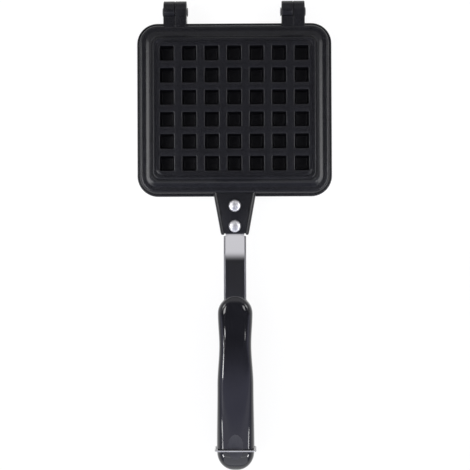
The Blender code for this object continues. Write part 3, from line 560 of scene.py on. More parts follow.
def pan_skin():
    """Inset and height of the outside, from the parting face to the groove's inner edge."""
    points = [(0, PARTING_GAP)] + arc(LIP_ROUND, LIP_TOP - LIP_ROUND, LIP_ROUND, 180, 90, 4)
    points += [(LIP_INSET, LIP_TOP)]
    points += arc(LEDGE_INSET, LEDGE_TOP - LEDGE_ROUND, LEDGE_ROUND, 172, 92, 9)
    points += cove()
    foot = PAN_TOP - GROOVE_DEPTH
    first, last = GROOVE_START + GROOVE_SLOPE, GROOVE_END - GROOVE_SLOPE
    points += [(GROOVE_START, PAN_TOP)] + slope((GROOVE_START, PAN_TOP), (first, foot), 4)
    points += [(last, foot)] + slope((last, foot), (GROOVE_END, PAN_TOP), 4)
    return points


def pan_cavity():
    """Inset and height of the inside, from the sealing land to the inner floor."""
    points = [(LAND_WIDTH, PARTING_GAP)]
    points += arc(CAVITY_INSET, CAVITY_EDGE - CAVITY_ROUND, CAVITY_ROUND, 175, 95, 5)
    shoulder = (CAVITY_SLOPE[0], CAVITY_EDGE)
    points += [shoulder] + slope(shoulder, (CAVITY_SLOPE[1], INNER_FLOOR), 10)
    return points


def pit_ring(bm, inset, height, centre, radius):
    half_x, half_y = PIT_HALF[0] - inset, PIT_HALF[1] - inset
    return ring(bm, rounded_rectangle(half_x, half_y, radius, PIT_CORNER_STEPS), height, centre)


def sink_pit(bm, centre):
    """One pit seen from outside, with rounded edges. Returns its edge in the waffle field."""
    rows = []
    for inset, drop in arc(0, PIT_ROUND, PIT_ROUND, 270, 360, PIT_ROUND_STEPS):
        inset -= PIT_FLARE
        rows.append(pit_ring(bm, inset, PAN_TOP - drop, centre, PIT_CORNER - inset / 2))
    middle = PAN_TOP - PIT_DEPTH + PIT_FLOOR_ROUND
    for inset, height in arc(PIT_FLOOR_INSET, middle, PIT_FLOOR_ROUND, 180, 270, 3):
        rows.append(pit_ring(bm, inset, height, centre, PIT_FLOOR_CORNER))
    skin_rows(bm, rows[:PIT_UNSHADED_ROWS + 1], capped=False)
    known = set(bm.faces)
    skin_rows(bm, rows[PIT_UNSHADED_ROWS:], capped=False)
    bm.faces.new(rows[-1])
    # the deeper walls and floor take the darker coating copy: painted shade in the pit
    for face in bm.faces:
        if face not in known:
            face.material_index = 1
    return rows[0]


def raise_peg(bm, centre):
    """The same pit's peg inside the pan. Returns its foot in the inner floor."""
    profile = [(inset, INNER_FLOOR + height) for inset, height in PEG_FOOT]
    profile += [(inset, PEG_TIP + height) for inset, height in PEG_END]
    rows = [pit_ring(bm, inset, height, centre, PEG_CORNER) for inset, height in profile]
    skin_rows(bm, rows, capped=False)
    bm.faces.new(rows[-1])
    return rows[0]


def pan_shell(bm):
    skin = [pan_row(bm, inset, height) for inset, height in pan_skin()]
    cavity = [pan_row(bm, inset, height) for inset, height in pan_cavity()]
    skin_rows(bm, skin, capped=False)
    skin_rows(bm, cavity, capped=False)
    join_rings(bm, skin[0], cavity[0])
    centres = []
    for row in range(PIT_ROWS):
        for column in range(PIT_COLUMNS):
            x = (column - (PIT_COLUMNS - 1) / 2) * PIT_PITCH[0]
            centres.append((x, (row - (PIT_ROWS - 1) / 2) * PIT_PITCH[1]))
    fill_plate(bm, skin[-1], [sink_pit(bm, centre) for centre in centres])
    fill_plate(bm, cavity[-1], [raise_peg(bm, centre) for centre in centres])
    bmesh.ops.translate(bm, vec=(0, PAN_CENTRE_Y, 0), verts=bm.verts)


def lug_outlines():
    """Side views, in Y and Z, of a lug's knuckle and of the half that leaves room."""
    turn = 180 + math.degrees(math.asin(-LUG_LOW / KNUCKLE_RADIUS))
    knuckle = [(LUG_BACK, LUG_LOW)] + arc(0, 0, KNUCKLE_RADIUS, turn, 450, KNUCKLE_STEPS)
    knuckle += [(LUG_BACK, LUG_TOP)]
    low = 180 - math.degrees(math.asin(LUG_LOW / ROOM_RADIUS))
    high = 180 - math.degrees(math.acos(-LUG_FRONT / ROOM_RADIUS))
    room = [(LUG_BACK, LUG_LOW)] + arc(0, 0, ROOM_RADIUS, low, high, ROOM_STEPS)
    room += [(LUG_FRONT, LUG_TOP), (LUG_BACK, LUG_TOP)]
    return knuckle, room


def hinge_lug(bm, x):
    knuckle, room = lug_outlines()
    rounded_prism(bm, knuckle, x + KNUCKLE_GAP, x + LUG_HALF, LUG_EDGE, sideways)
    rounded_prism(bm, room, x - LUG_HALF, x + ROOM_OVERLAP, ROOM_EDGE, sideways)


def tang_half(y):
    return mix(TANG_HALF[0], TANG_HALF[1], (y - TANG_END) / TANG_LENGTH)


def tang_floor(bm):
    far, near = TANG_END + TANG_LENGTH + TANG_ROOT, TANG_END + TANG_SETBACK
    wide, narrow = tang_half(far) - TANG_FLOOR_MARGIN, tang_half(near) - TANG_FLOOR_MARGIN
    outline = [(wide, far), (-wide, far), (-narrow, near), (narrow, near)]
    rounded_prism(bm, outline, *TANG_FLOOR, TANG_FLOOR_EDGE, upright)


def tang_rib(bm, side):
    """A rib along one edge of the tang, drawn in and rounded at its end."""
    lean, climb = RIB_LEAN
    section = [(0.0, RIB_LOW), (0.0, RIB_SIDE)]
    for turn in RIB_LEAN_TURNS:
        section.append((lean - lean * math.cos(turn), RIB_SIDE + climb * math.sin(turn)))
    section += [(RIB_WIDTH + beyond, height) for beyond, height in RIB_INSIDE]
    places = [(TANG_END + run, share) for run, share in RIB_ENDS]
    places.append((TANG_END + TANG_LENGTH + TANG_ROOT, 1.0))
    rows = []
    for y, share in places:
        half = tang_half(y)
        widest = RIB_WIDTH if share < 1 else math.inf
        row = []
        for across, height in section:
            held = mix(RIB_WIDTH / 2, min(across, widest), share)
            level = mix(RIB_END_HEIGHT, height, mix(share, 1, RIB_END_SHARE))
            row.append(bm.verts.new((side * (half - held), y, level)))
        rows.append(row)
    skin_rows(bm, rows)


def pan_casting():
    bm = bmesh.new()
    pan_shell(bm)
    for x in (-LUG_X, LUG_X):
        hinge_lug(bm, x)
    tang_floor(bm)
    tang_rib(bm, 1)
    tang_rib(bm, -1)
    return finished(bm, "pan_casting")


# Pins, rivets and screws


def hinge_pin():
    seat = LUG_HALF + SEAT_GAP
    head = [(PIN_SHANK, seat), (PIN_HEAD - PIN_EDGE, seat)]
    head += [(PIN_HEAD, seat + PIN_EDGE), (PIN_HEAD, seat + PIN_SIDE)]
    for turn in (0.4, 0.8, 1.2):
        head.append((PIN_HEAD * math.cos(turn), seat + PIN_SIDE + PIN_DOME * math.sin(turn)))
    head.append((0, seat + PIN_SIDE + PIN_DOME))
    other = [(radius, -height) for radius, height in reversed(head)]
    return turned(other + head, PIN_STEPS, "pin", "X")


def tang_rivet():
    """A domed rivet whose origin is the top of the tang's floor."""
    side = SEAT_GAP + RIVET_EDGE
    profile = list(RIVET_TAIL) + [(RIVET_SHANK, RIVET_TAIL[-1][1]), (RIVET_SHANK, SEAT_GAP)]
    profile += [(RIVET_HEAD - RIVET_EDGE, SEAT_GAP), (RIVET_HEAD, side)]
    for i in range(1, RIVET_DOME_STEPS):
        turn = math.pi / 2 * i / RIVET_DOME_STEPS
        profile.append((RIVET_HEAD * math.cos(turn), side + RIVET_DOME * math.sin(turn)))
    return turned(profile + [(0, side + RIVET_DOME)], RIVET_STEPS, "rivet")


def handle_screw():
    """A cross-recessed screw driven up from the flat side, its origin on the strip's underside."""
    profile = [(0, SCREW_HEAD_LOW)]
    for turn in (0.3, 0.6, 0.9, 1.2, 1.5):
        level = SCREW_HEAD_LOW + SCREW_DOME * (1 - math.cos(turn))
        profile.append((SCREW_HEAD * math.sin(turn), level))
    profile += [(SCREW_HEAD, -SEAT_GAP), (SCREW_SHANK, -SEAT_GAP)]
    profile += [(SCREW_SHANK, SCREW_SHANK_END), (0, SCREW_POINT)]
    screw = turned(profile, SCREW_STEPS, "screw")
    tools = []
    for turn in (0, math.pi / 2):
        bm = bmesh.new()
        rows = []
        for reach, half, corner, height in SCREW_RECESS:
            rows.append(ring(bm, rounded_rectangle(reach, half, corner, 2), height))
        skin_rows(bm, rows)
        matrix = Matrix.Rotation(turn, 3, "Z")
        bmesh.ops.rotate(bm, verts=bm.verts, cent=(0, 0, 0), matrix=matrix)
        tools.append(("DIFFERENCE", finished(bm, "driver", triangles=True)))
    return smooth(combine(screw, tools))


# Steel strip


def ramp_up(share):
    """From 0 to 1 along a straight slope that eases to level in its last part."""
    held = min(max(share, 0), 1)
    steady = min(held, STRIP_STRAIGHT)
    eased = (held - steady) / (1 - STRIP_STRAIGHT)
    rise = steady + (1 - STRIP_STRAIGHT) * (eased - eased * eased / 2)
    return rise / (STRIP_STRAIGHT + (1 - STRIP_STRAIGHT) / 2)


def strip_top(y):
    climb = ramp_up((TANG_END + TANG_SETBACK - y) / STRIP_SLOPE_RUN)
    fall = smoothstep((NOSE - STRIP_INSIDE_FLAT - y) / STRIP_DIP_RUN)
    return TONGUE_TOP + STRIP_RISE * climb - STRIP_DIP * fall


def strip_line(y, fold, narrowing):
    """Across, height and lean along the middle of the strip's metal, from side to side."""
    middle = strip_top(y) - STRIP_METAL / 2
    bend = (STRIP_BEND - STRIP_METAL / 2) * math.pi / 2
    flat = mix(TONGUE_HALF - bend - STRIP_EDGE, STRIP_HALF - STRIP_BEND, fold) - narrowing
    climb = (strip_top(y) - TONGUE_TOP) / STRIP_RISE
    flange = mix(STRIP_EDGE, mix(*STRIP_FLANGES, climb) - STRIP_BEND, fold)
    turn = max(fold, WELD) * math.pi / 2
    radius = bend / turn
    half = [(flat * STRIP_FLAT_SHARE, middle, 0)]
    for i in range(STRIP_BEND_STEPS + 1):
        lean = turn * i / STRIP_BEND_STEPS
        height = middle - radius * (1 - math.cos(lean))
        half.append((flat + radius * math.sin(lean), height, lean))
    across, height, lean = half[-1]
    half.append((across + flange * math.cos(lean), height - flange * math.sin(lean), lean))
    other = [(-across, height, -lean) for across, height, lean in reversed(half)]
    return other + [(0, middle, 0)] + half


def strip_section(y, fold, narrowing):
    """Points round the strip at one Y. Fold runs from 0, flat, to 1, edges turned square down."""
    line = strip_line(y, fold, narrowing)
    points = []
    for side in (1, -1):
        face = []
        for across, height, lean in line:
            shift = side * STRIP_METAL / 2
            face.append((across + shift * math.sin(lean), y, height + shift * math.cos(lean)))
        points += face[::side]
    return points


def strip_stations():
    """Y, fold and narrowing along the strip."""
    start = TANG_END + STRIP_START
    foot = TANG_END + TANG_SETBACK
    neck = TANG_END - STRIP_NECK
    fold_end = neck - STRIP_NECK_STEP
    level = foot - STRIP_SLOPE_RUN
    inside = NOSE - STRIP_INSIDE_FLAT
    end = NOSE - STRIP_END
    stations = [(start - run, 0, narrowing) for run, narrowing in STRIP_START_CORNERS]
    stations += [(foot, 0, 0), (neck, 0, 0), (fold_end, 1, 0)]
    for i in range(1, STRIP_SLOPE_STEPS + 1):
        stations.append((mix(fold_end, level, i / STRIP_SLOPE_STEPS), 1, 0))
    for share in (0.04, 0.2, 0.4, 0.6, 0.8, 0.98, 1):
        stations.append((mix(level, inside, share), 1, 0))
    for i in range(1, STRIP_DIP_STEPS + 1):
        share = i / STRIP_DIP_STEPS
        stations.append((inside - STRIP_DIP_RUN * share, 1 - smoothstep(share), 0))
    for degrees in (0, 30, 60, 80):
        turn = math.radians(degrees)
        y = end + STRIP_END_ROUND * (1 - math.sin(turn))
        stations.append((y, 0, STRIP_END_ROUND * (1 - math.cos(turn))))
    return stations


def steel_strip():
    bm = bmesh.new()
    rows = []
    for station in strip_stations():
        rows.append([bm.verts.new(point) for point in strip_section(*station)])
    skin_rows(bm, rows)
    mesh = finished(bm, "steel_strip", triangles=True)
    # faces on the bends take the rougher, darker steel: painted shade
    for face in mesh.polygons:
        if abs(face.normal.x) > STRIP_DULL_AND_SHADED:
            face.material_index = 1
    return mesh


# Handle shell


def handle_body(distance):
    """Half width, top height and squareness of the grip at a distance behind the nose."""
    for first, second in zip(BODY_PLACES, BODY_PLACES[1:]):
        if distance <= second[0]:
            break
    share = smoothstep((distance - first[0]) / (second[0] - first[0]))
    half, squareness = mix(first[1], second[1], share), mix(first[2], second[2], share)
    along = (distance - NOSE_RADIUS) / (CLASP_DISTANCE - NOSE_RADIUS)
    return half, mix(NOSE_TOP, BODY_TOP, along), squareness


def dome_fall(distance, start, end):
    """From 1 at the start down to almost nothing at the end, along a quarter of a round."""
    reach = (distance - start) * math.sin(DOME_CUT) / (end - start)
    return math.sqrt(1 - max(reach, 0) ** 2)


def handle_tail(distance, wall):
    """Half width and top height of the grip's rounded end."""
    end = DOME_DISTANCE + DOME_RADIUS - wall
    half = (DOME_RADIUS - wall) * dome_fall(distance, DOME_DISTANCE, end)
    return half, (DOME_TOP - wall) * dome_fall(distance, CLASP_DISTANCE, end)


def tail_height(x, distance):
    half, top = handle_tail(distance, 0)
    level = (1 - (abs(x) / half) ** TAIL_SQUARENESS) ** (1 / TAIL_SQUARENESS)
    return HANDLE_LOW + (top - HANDLE_LOW) * level


def nose_stations(wall):
    stations = []
    radius = NOSE_RADIUS - wall
    for degrees in NOSE_TURNS:
        turn = math.radians(degrees)
        distance = wall + radius * (math.cos(math.radians(NOSE_TURNS[0])) - math.cos(turn))
        drop = 0
        if wall == 0 and distance < NOSE_ROUND[0]:
            drop = NOSE_ROUND[1] * (1 - math.sqrt(1 - (1 - distance / NOSE_ROUND[0]) ** 2))
        top = NOSE_TOP - wall - drop
        stations.append((distance, radius * math.sin(turn), top, NOSE_SQUARENESS))
    return stations


def handle_stations(wall):
    """Distance, half width, top height and squareness along the skin, or inside it by the wall."""
    stations = nose_stations(wall)
    seat = CLASP_DISTANCE - CLASP_LEAD
    for i in range(1, BODY_STEPS + 1):
        distance = mix(NOSE_RADIUS, seat, i / BODY_STEPS)
        half, top, squareness = handle_body(distance)
        stations.append((distance, half - wall, top - wall, squareness))
    reach = (DOME_RADIUS - wall) / math.sin(DOME_CUT)
    places = [seat + CLASP_STEP, CLASP_DISTANCE, (CLASP_DISTANCE + DOME_DISTANCE) / 2]
    for i in range(DOME_STEPS + 1):
        places.append(DOME_DISTANCE + reach * math.sin(DOME_CUT * i / DOME_STEPS))
    for distance in places:
        half, top = handle_tail(distance, wall)
        stations.append((distance, half, top, TAIL_SQUARENESS))
    return stations


def grip_arch(distance, half, top, squareness, steps=ARCH_STEPS):
    """The shell's section from its +X foot over the top to its -X foot, as a superellipse."""
    points = []
    power = 2 / squareness
    for i in range(steps + 1):
        angle = math.pi * i / steps
        across = math.copysign(abs(math.cos(angle)) ** power, math.cos(angle))
        up = abs(math.sin(angle)) ** power if 0 < i < steps else 0
        points.append((half * across, NOSE - distance, HANDLE_LOW + (top - HANDLE_LOW) * up))
    return points


def open_shell():
    """The grip's skin and hollow, joined round the flat split face."""
    bm = bmesh.new()
    skin = [[bm.verts.new(p) for p in grip_arch(*row)] for row in handle_stations(0)]
    core = [[bm.verts.new(p) for p in grip_arch(*row)] for row in handle_stations(WALL)]
    for rows in (skin, core):
        for first, second in zip(rows, rows[1:]):
            for i in range(len(first) - 1):
                bm.faces.new((first[i], first[i + 1], second[i + 1], second[i]))
        bm.faces.new(rows[0])
        bm.faces.new(rows[-1])
    for foot in (0, -1):
        for i in range(len(skin) - 1):
            bm.faces.new((skin[i][foot], skin[i + 1][foot], core[i + 1][foot], core[i][foot]))
    for end in (0, -1):
        bm.faces.new((skin[end][0], skin[end][-1], core[end][-1], core[end][0]))
    return finished(bm, "handle", triangles=True)


def nose_notch():
    """Cutter for the mouth that the strip enters by."""
    bm = bmesh.new()
    outline = rounded_rectangle(STRIP_HALF + SEAT_GAP, NOTCH_HALF_HEIGHT, NOTCH_CORNER, 3)
    rows = []
    for y in (NOSE - NOSE_RADIUS, NOSE + NOTCH_LEAD):
        rows.append([bm.verts.new((x, y, z + NOTCH_MIDDLE)) for x, z in outline])
    skin_rows(bm, rows)
    return finished(bm, "notch", triangles=True)


def thumb_recess():
    """Cutter for an oval bowl that follows the grip's back and meets it with a low step."""
    bm = bmesh.new()
    circle = arc(0, 0, 1, 0, 360, RECESS_STEPS)[:-1]
    rim = [(RECESS_HALF[0] * x, RECESS_HALF[1] * y) for x, y in circle]
    rows = [ring(bm, rim, DOME_TOP + RECESS_CLEAR, (0, NOSE - RECESS_DISTANCE))]
    for share in RECESS_SHARES:
        depth = mix(RECESS_DEPTH, RECESS_EDGE, share**2)
        row = []
        for x, y in rim:
            distance = RECESS_DISTANCE - y * share
            height = tail_height(x * share, distance) - depth
            row.append(bm.verts.new((x * share, NOSE - distance, height)))
        rows.append(row)
    skin_rows(bm, rows)
    return finished(bm, "recess", triangles=True)


def in_recess(x, y, z):
    across, along = x / RECESS_HALF[0], (y - NOSE + RECESS_DISTANCE) / RECESS_HALF[1]
    if across**2 + along**2 >= RECESS_LIMIT or z <= RECESS_LEAST_HEIGHT:
        return False
    return z < tail_height(x, NOSE - y) - RECESS_EDGE / 3


def rod(radius, low, high, steps, matrix):
    bm = bmesh.new()
    middle = matrix @ Matrix.Translation((0, 0, (low + high) / 2))
    bmesh.ops.create_cone(
        bm,
        cap_ends=True,
        segments=steps,
        radius1=radius,
        radius2=radius,
        depth=high - low,
        matrix=middle,
    )
    return finished(bm, "rod")


def cross_web(distance):
    """A web across the shell's hollow, let into its walls."""
    half, top, squareness = handle_body(distance)
    bm = bmesh.new()
    rows = []
    for side in (-1, 1):
        place = distance + side * WEB_METAL / 2
        arch = grip_arch(place, half - WALL / 2, top - WALL / 2, squareness, WEB_STEPS)
        rows.append([bm.verts.new((x, y, max(z, HANDLE_LOW + WEB_LIFT))) for x, y, z in arch])
    skin_rows(bm, rows)
    return finished(bm, "web")


def handle_shell():
    steps = [("UNION", cross_web(distance)) for distance in WEB_PLACES]
    seat = STRIP_INSIDE_TOP + SEAT_GAP
    for y in SCREW_PLACES:
        top = handle_body(NOSE - y)[1] - WALL / 2
        boss = rod(BOSS_RADIUS, seat, top, BOSS_STEPS, Matrix.Translation((0, y, 0)))
        steps.append(("UNION", boss))
    pivot = Matrix.Translation((0, NOSE - CLASP_DISTANCE, WIRE_HOLE_HEIGHT))
    across = pivot @ Matrix.Rotation(math.pi / 2, 4, "Y")
    steps += [("DIFFERENCE", nose_notch()), ("DIFFERENCE", thumb_recess())]
    hole = rod(WIRE_HOLE, -WIRE_HOLE_REACH, WIRE_HOLE_REACH, WIRE_HOLE_STEPS, across)
    mesh = combine(open_shell(), steps + [("DIFFERENCE", hole)])
    # the recess floor takes the rougher, lighter moulding: partly matte surface, partly painted
    # sheen
    for face in mesh.polygons:
        if in_recess(*face.center):
            face.material_index = 1
    return smooth(mesh)


# Wire clasp


def clasp_wire():
    """A round wire bent to a square arch, its ends turned in to the pivot, which is the origin."""
    side, crown = CLASP_LEG - WIRE_BEND, CLASP_REACH - WIRE_BEND
    half = [(CLASP_LEG - CLASP_FOOT, 0)]
    half += arc(side, WIRE_BEND, WIRE_BEND, 270, 360, WIRE_BEND_STEPS)
    half += arc(side, crown, WIRE_BEND, 0, 90, WIRE_BEND_STEPS)
    line = half + [(-x, z) for x, z in reversed(half)]
    curve = bpy.data.curves.new("clasp_wire", "CURVE")
    curve.dimensions = "3D"
    curve.bevel_depth = WIRE_RADIUS
    curve.bevel_resolution = 5
    curve.use_fill_caps = True
    spline = curve.splines.new("POLY")
    spline.points.add(len(line) - 1)
    for point, (x, z) in zip(spline.points, line):
        point.co = (x, 0, z, 1)
    spline.use_smooth = True
    return curve


# Shader nodes


def link(tree, source, target):
    tree.links.new(source, target)


def add_node(tree, kind, **values):
    """A node with its inputs, or else its own settings, at the given values."""
    made = tree.nodes.new(kind)
    for key, value in values.items():
        if key in made.inputs:
            made.inputs[key].default_value = value
        else:
            setattr(made, key, value)
    return made


def math_node(tree, operation, *values):
    made = add_node(tree, "ShaderNodeMath", operation=operation)
    for value, socket in zip(values, made.inputs):
        if isinstance(value, float):
            socket.default_value = value
        else:
            link(tree, value, socket)
    return made.outputs[0]


def mix_shaders(tree, share, first, second):
    made = tree.nodes.new("ShaderNodeMixShader")
    link(tree, share, made.inputs["Fac"])
    link(tree, first.outputs[0], made.inputs[1])
    link(tree, second.outputs[0], made.inputs[2])
    return made.outputs[0]


def noise(tree, coords, scale, detail=2.0, rough=0.5):
    made = add_node(tree, "ShaderNodeTexNoise", Scale=scale, Detail=detail, Roughness=rough)
    link(tree, coords, made.inputs["Vector"])
    return made.outputs["Fac"]


def object_coords(tree):
    """Places in the piece's own frame, in metres."""
    return add_node(tree, "ShaderNodeTexCoord").outputs["Object"]


def stretched(tree, scale):
    """The same places, scaled along each axis."""
    coords = object_coords(tree)
    mapping = add_node(tree, "ShaderNodeMapping", Scale=scale)
    link(tree, coords, mapping.inputs["Vector"])
    return mapping.outputs["Vector"]


def ramp(tree, source, stops):
    made = tree.nodes.new("ShaderNodeValToRGB")
    elements = made.color_ramp.elements
    for element, (place, colour) in zip(elements, stops):
        element.position = place
        element.color = (*colour, 1)
    link(tree, source, made.inputs["Fac"])
    return made.outputs["Color"]


def grey(value):
    return (value, value, value)


def bump(tree, height, strength, distance, previous=None):
    made = add_node(tree, "ShaderNodeBump", Strength=strength, Distance=distance)
    link(tree, height, made.inputs["Height"])
    if previous is not None:
        link(tree, previous, made.inputs["Normal"])
    return made.outputs["Normal"]


def band(tree, value, start, end):
    """One where the value lies past end, fading to nothing at start."""
    made = add_node(tree, "ShaderNodeMapRange", interpolation_type="SMOOTHSTEP")
    link(tree, value, made.inputs["Value"])
    made.inputs["From Min"].default_value = start
    made.inputs["From Max"].default_value = end
    made.inputs["To Min"].default_value = 0.0
    made.inputs["To Max"].default_value = 1.0
    return made.outputs["Result"]


# Materials


def new_material(name, **values):
    made = bpy.data.materials.new(name)
    made.use_nodes = True
    tree = made.node_tree
    shader = tree.nodes["Principled BSDF"]
    for key, value in values.items():
        shader.inputs[key.replace("_", " ")].default_value = value
    return made, tree, shader


def vary(tree, source, places, values, socket):
    """The socket runs between two colours as the source runs between two values."""
    link(tree, ramp(tree, source, list(zip(places, values))), socket)


def coating_material(name, dark, light, gloss, roughness):
    """Black non-stick coating on cast metal: fine orange peel over pebbling, faintly mottled."""
    made, tree, shader = new_material(name, Metallic=0.0, Specular_IOR_Level=gloss)
    coords = object_coords(tree)
    mottle = noise(tree, coords, scale=120, detail=4, rough=0.6)
    peel = noise(tree, coords, scale=1700, detail=3, rough=0.6)
    pebble = noise(tree, coords, scale=620)
    vary(tree, mottle, (0.3, 0.7), (dark, light), shader.inputs["Base Color"])
    vary(tree, peel, (0.3, 0.7), map(grey, roughness), shader.inputs["Roughness"])
    first = bump(tree, pebble, strength=0.12, distance=0.0004)
    second = bump(tree, peel, strength=0.15, distance=0.00015, previous=first)
    link(tree, second, shader.inputs["Normal"])
    return made


def metal_material(name, tint, roughness, scale, depth):
    """Metal with fine drawing lines along the strip or wire."""
    made, tree, shader = new_material(name, Metallic=1.0, Base_Color=(*tint, 1))
    lines = noise(tree, stretched(tree, scale), scale=1.0, detail=4, rough=0.6)
    vary(tree, lines, (0.3, 0.7), map(grey, roughness), shader.inputs["Roughness"])
    link(tree, bump(tree, lines, strength=0.08, distance=depth), shader.inputs["Normal"])
    return made


def grip_material(name, dark, light, roughness, grain):
    """Black moulding with a slight waviness and hairline handling marks."""
    made, tree, shader = new_material(name, Metallic=0.0, Specular_IOR_Level=0.5)
    coords = object_coords(tree)
    cloud = noise(tree, coords, scale=70, detail=3)
    vary(tree, cloud, (0.3, 0.7), (dark, light), shader.inputs["Base Color"])
    marks = noise(tree, stretched(tree, (700, 90, 700)), scale=1.0, detail=3, rough=0.65)
    vary(tree, marks, (0.35, 0.75), map(grey, roughness), shader.inputs["Roughness"])
    fine = noise(tree, coords, scale=2400)
    waves = bump(tree, noise(tree, coords, scale=110, detail=1), strength=0.015, distance=0.0004)
    second = bump(tree, fine, strength=grain, distance=0.0001, previous=waves)
    link(tree, second, shader.inputs["Normal"])
    return made


def all_materials():
    made = {}
    for build, rows in (
        (coating_material, COATING_AND_PIT_SHADE),
        (metal_material, METALS),
        (grip_material, GRIPS),
    ):
        for row in rows:
            made[row[0]] = build(*row)
    return made


# Assembly


def place(name, data, body, slot, matrix, materials):
    """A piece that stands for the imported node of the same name."""
    obj = bpy.data.objects.new("fine_" + name, data)
    bpy.context.scene.collection.objects.link(obj)
    if not data.materials:
        for material in materials:
            data.materials.append(material)
    obj.matrix_basis = matrix
    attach(obj, body)
    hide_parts(name)


def assemble():
    made = all_materials()
    # the pan's coating, and its darker copy as painted shade in the pits
    pan_coat_and_shade = [made["coating"], made["pit_coating"]]
    # the strip's steel, and its darker copy as painted shade on the bends
    steel_and_edge_shade = [made["strip_steel"], made["strip_edge"]]
    grips = [made["grip_gloss"], made["grip_matte"]]
    pan, strip, rivet = pan_casting(), steel_strip(), tang_rivet()
    handle, screw, pin = handle_shell(), handle_screw(), hinge_pin()
    screw_seat = STRIP_INSIDE_TOP - STRIP_METAL
    here = Matrix.Translation(HINGE)
    turns = (("upper", here), ("lower", here @ Matrix.Rotation(math.pi, 4, "Y")))
    for side, matrix in turns:
        body = side + "_half"
        place(side + "_pan", pan, body, "coating", matrix, pan_coat_and_shade)
        place(side + "_bracket", strip, body, "strip_steel", matrix, steel_and_edge_shade)
        place(side + "_handle", handle, body, "grip", matrix, grips)
        for end, rivet_y, screw_y in zip(("front", "rear"), RIVET_PLACES, SCREW_PLACES):
            spot = matrix @ Matrix.Translation((0, rivet_y, TANG_FLOOR[1]))
            place(f"{side}_rivet_{end}", rivet, body, "rivet", spot, [made["rivet_metal"]])
            spot = matrix @ Matrix.Translation((0, screw_y, screw_seat))
            place(f"{side}_handle_screw_{end}", screw, body, "screw", spot, [made["screw_metal"]])
    for side, x in (("left", -LUG_X), ("right", LUG_X)):
        spot = Matrix.Translation(HINGE + Vector((x, 0, 0)))
        place("hinge_pin_" + side, pin, "lower_half", "pin", spot, [made["pin_metal"]])
    spot = Matrix.Translation(CLASP_PIVOT)
    place("clasp_wire", clasp_wire(), "clasp", "wire", spot, [made["wire_steel"]])


# Studio


def floor_material():
    """White sweep: lit, and topped up to white where it is seen or mirrored."""
    made = bpy.data.materials.new("white_floor")
    made.use_nodes = True
    tree = made.node_tree
    tree.nodes.clear()
    end = tree.nodes.new("ShaderNodeOutputMaterial")
    diffuse = add_node(tree, "ShaderNodeBsdfDiffuse", Color=(*FLOOR_COLOUR, 1))
    glow = add_node(tree, "ShaderNodeEmission", Color=(1, 1, 1, 1), Strength=FLOOR_GLOW)
    rays = tree.nodes.new("ShaderNodeLightPath").outputs
    seen = math_node(tree, "MAXIMUM", rays["Is Camera Ray"], rays["Is Glossy Ray"])
    shown = math_node(tree, "MAXIMUM", seen, rays["Is Transmission Ray"])
    share = math_node(tree, "MULTIPLY", shown, FLOOR_GLOW_SHARE)
    link(tree, mix_shaders(tree, share, diffuse, glow), end.inputs["Surface"])
    return made


def build_floor():
    bm = bmesh.new()
    bmesh.ops.create_grid(bm, x_segments=2, y_segments=2, size=FLOOR_HALF)
    mesh = bpy.data.meshes.new("floor")
    bm.to_mesh(mesh)
    bm.free()
    floor = bpy.data.objects.new("floor", mesh)
    floor.location.z = -FLOOR_DROP
    mesh.materials.append(floor_material())
    bpy.context.scene.collection.objects.link(floor)


def panel_share(tree, across, along, columns, rows):
    """One inside a panel, given by its soft edges across and along, and nothing outside."""
    edges = []
    for value, (start, full, last, end) in ((across, columns), (along, rows)):
        edges += [band(tree, value, start, full), band(tree, value, end, last)]
    share = edges[0]
    for edge in edges[1:]:
        share = math_node(tree, "MULTIPLY", share, edge)
    return share


def sky_colour(tree):
    """A dim ceiling round the camera, with soft panels let into it, over a bright horizon."""
    coords = tree.nodes.new("ShaderNodeTexCoord")
    split = tree.nodes.new("ShaderNodeSeparateXYZ")
    link(tree, coords.outputs["Generated"], split.inputs[0])
    height = math_node(tree, "MAXIMUM", split.outputs["Z"], LEAST_HEIGHT)
    across = math_node(tree, "DIVIDE", split.outputs["X"], height)
    along = math_node(tree, "DIVIDE", split.outputs["Y"], height)
    squares = [math_node(tree, "MULTIPLY", value, value) for value in (across, along)]
    reach = math_node(tree, "SQRT", math_node(tree, "ADD", *squares))
    layers = [(band(tree, reach, *HORIZON_EDGE), HORIZON)]
    for columns, rows, colour in PANELS:
        layers.append((panel_share(tree, across, along, columns, rows), colour))
    shade = None
    for share, colour in layers:
        layer = add_node(tree, "ShaderNodeMix", data_type="RGBA")
        link(tree, share, layer.inputs["Factor"])
        if shade is None:
            layer.inputs["A"].default_value = (*ZENITH, 1)
        else:
            link(tree, shade, layer.inputs["A"])
        layer.inputs["B"].default_value = (*colour, 1)
        shade = layer.outputs["Result"]
    return shade


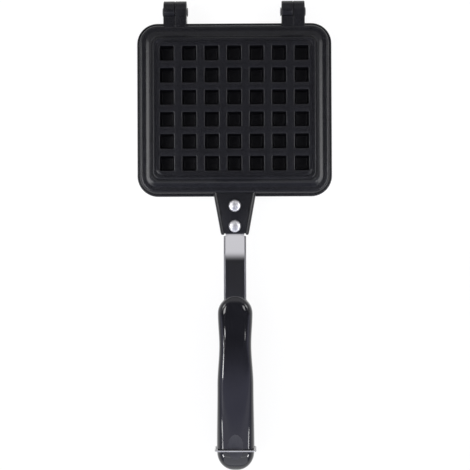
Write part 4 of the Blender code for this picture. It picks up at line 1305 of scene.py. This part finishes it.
def build_world():
    """The sky lights and mirrors, but the camera sees plain white behind the floor."""
    world = bpy.data.worlds.new("studio")
    bpy.context.scene.world = world
    world.use_nodes = True
    tree = world.node_tree
    tree.nodes.clear()
    end = tree.nodes.new("ShaderNodeOutputWorld")
    sky = tree.nodes.new("ShaderNodeBackground")
    link(tree, sky_colour(tree), sky.inputs["Color"])
    plain = add_node(tree, "ShaderNodeBackground", Color=(1, 1, 1, 1), Strength=1.0)
    camera_ray = tree.nodes.new("ShaderNodeLightPath").outputs["Is Camera Ray"]
    link(tree, mix_shaders(tree, camera_ray, sky, plain), end.inputs["Surface"])


def soft_light(name, spot, target, length, height, radiance, beam=180):
    """A rectangular lamp, aimed from one place at another, its radiance given along its aim."""
    data = bpy.data.lights.new(name, "AREA")
    data.shape = "RECTANGLE"
    data.size = length
    data.size_y = height
    data.spread = math.radians(beam)
    half = data.spread / 2
    data.energy = radiance * math.pi * length * height * (1 - half / math.tan(half))
    obj = bpy.data.objects.new(name, data)
    obj.location = spot
    obj.rotation_mode = "QUATERNION"
    obj.rotation_quaternion = (Vector(target) - Vector(spot)).to_track_quat("-Z", "Y")
    obj.visible_camera = False
    bpy.context.scene.collection.objects.link(obj)


def build_lamps():
    for name, x, y, length, height, radiance in ROW_LAMPS:
        soft_light(name, (x, y, ROW_HEIGHT), (0, y, ROW_AIM), length, height, radiance)
    for lamp in LAMPS:
        soft_light(*lamp)


def build_camera():
    data = bpy.data.cameras.new("camera")
    data.sensor_width = SENSOR
    data.lens = SENSOR * CAMERA_DISTANCE / FRAME_WIDTH
    data.dof.use_dof = False
    obj = bpy.data.objects.new("camera", data)
    away = Vector((*CAMERA_LEAN, CAMERA_DISTANCE)).normalized() * CAMERA_DISTANCE
    obj.location = Vector(CAMERA_TARGET) + away
    tilt = (math.asin(-away.y / CAMERA_DISTANCE), math.asin(away.x / CAMERA_DISTANCE))
    obj.rotation_euler = (*tilt, CAMERA_ROLL)
    bpy.context.scene.collection.objects.link(obj)
    bpy.context.scene.camera = obj


assemble()
build_floor()
build_world()
build_lamps()
build_camera()
bpy.context.scene.view_settings.view_transform = "Standard"
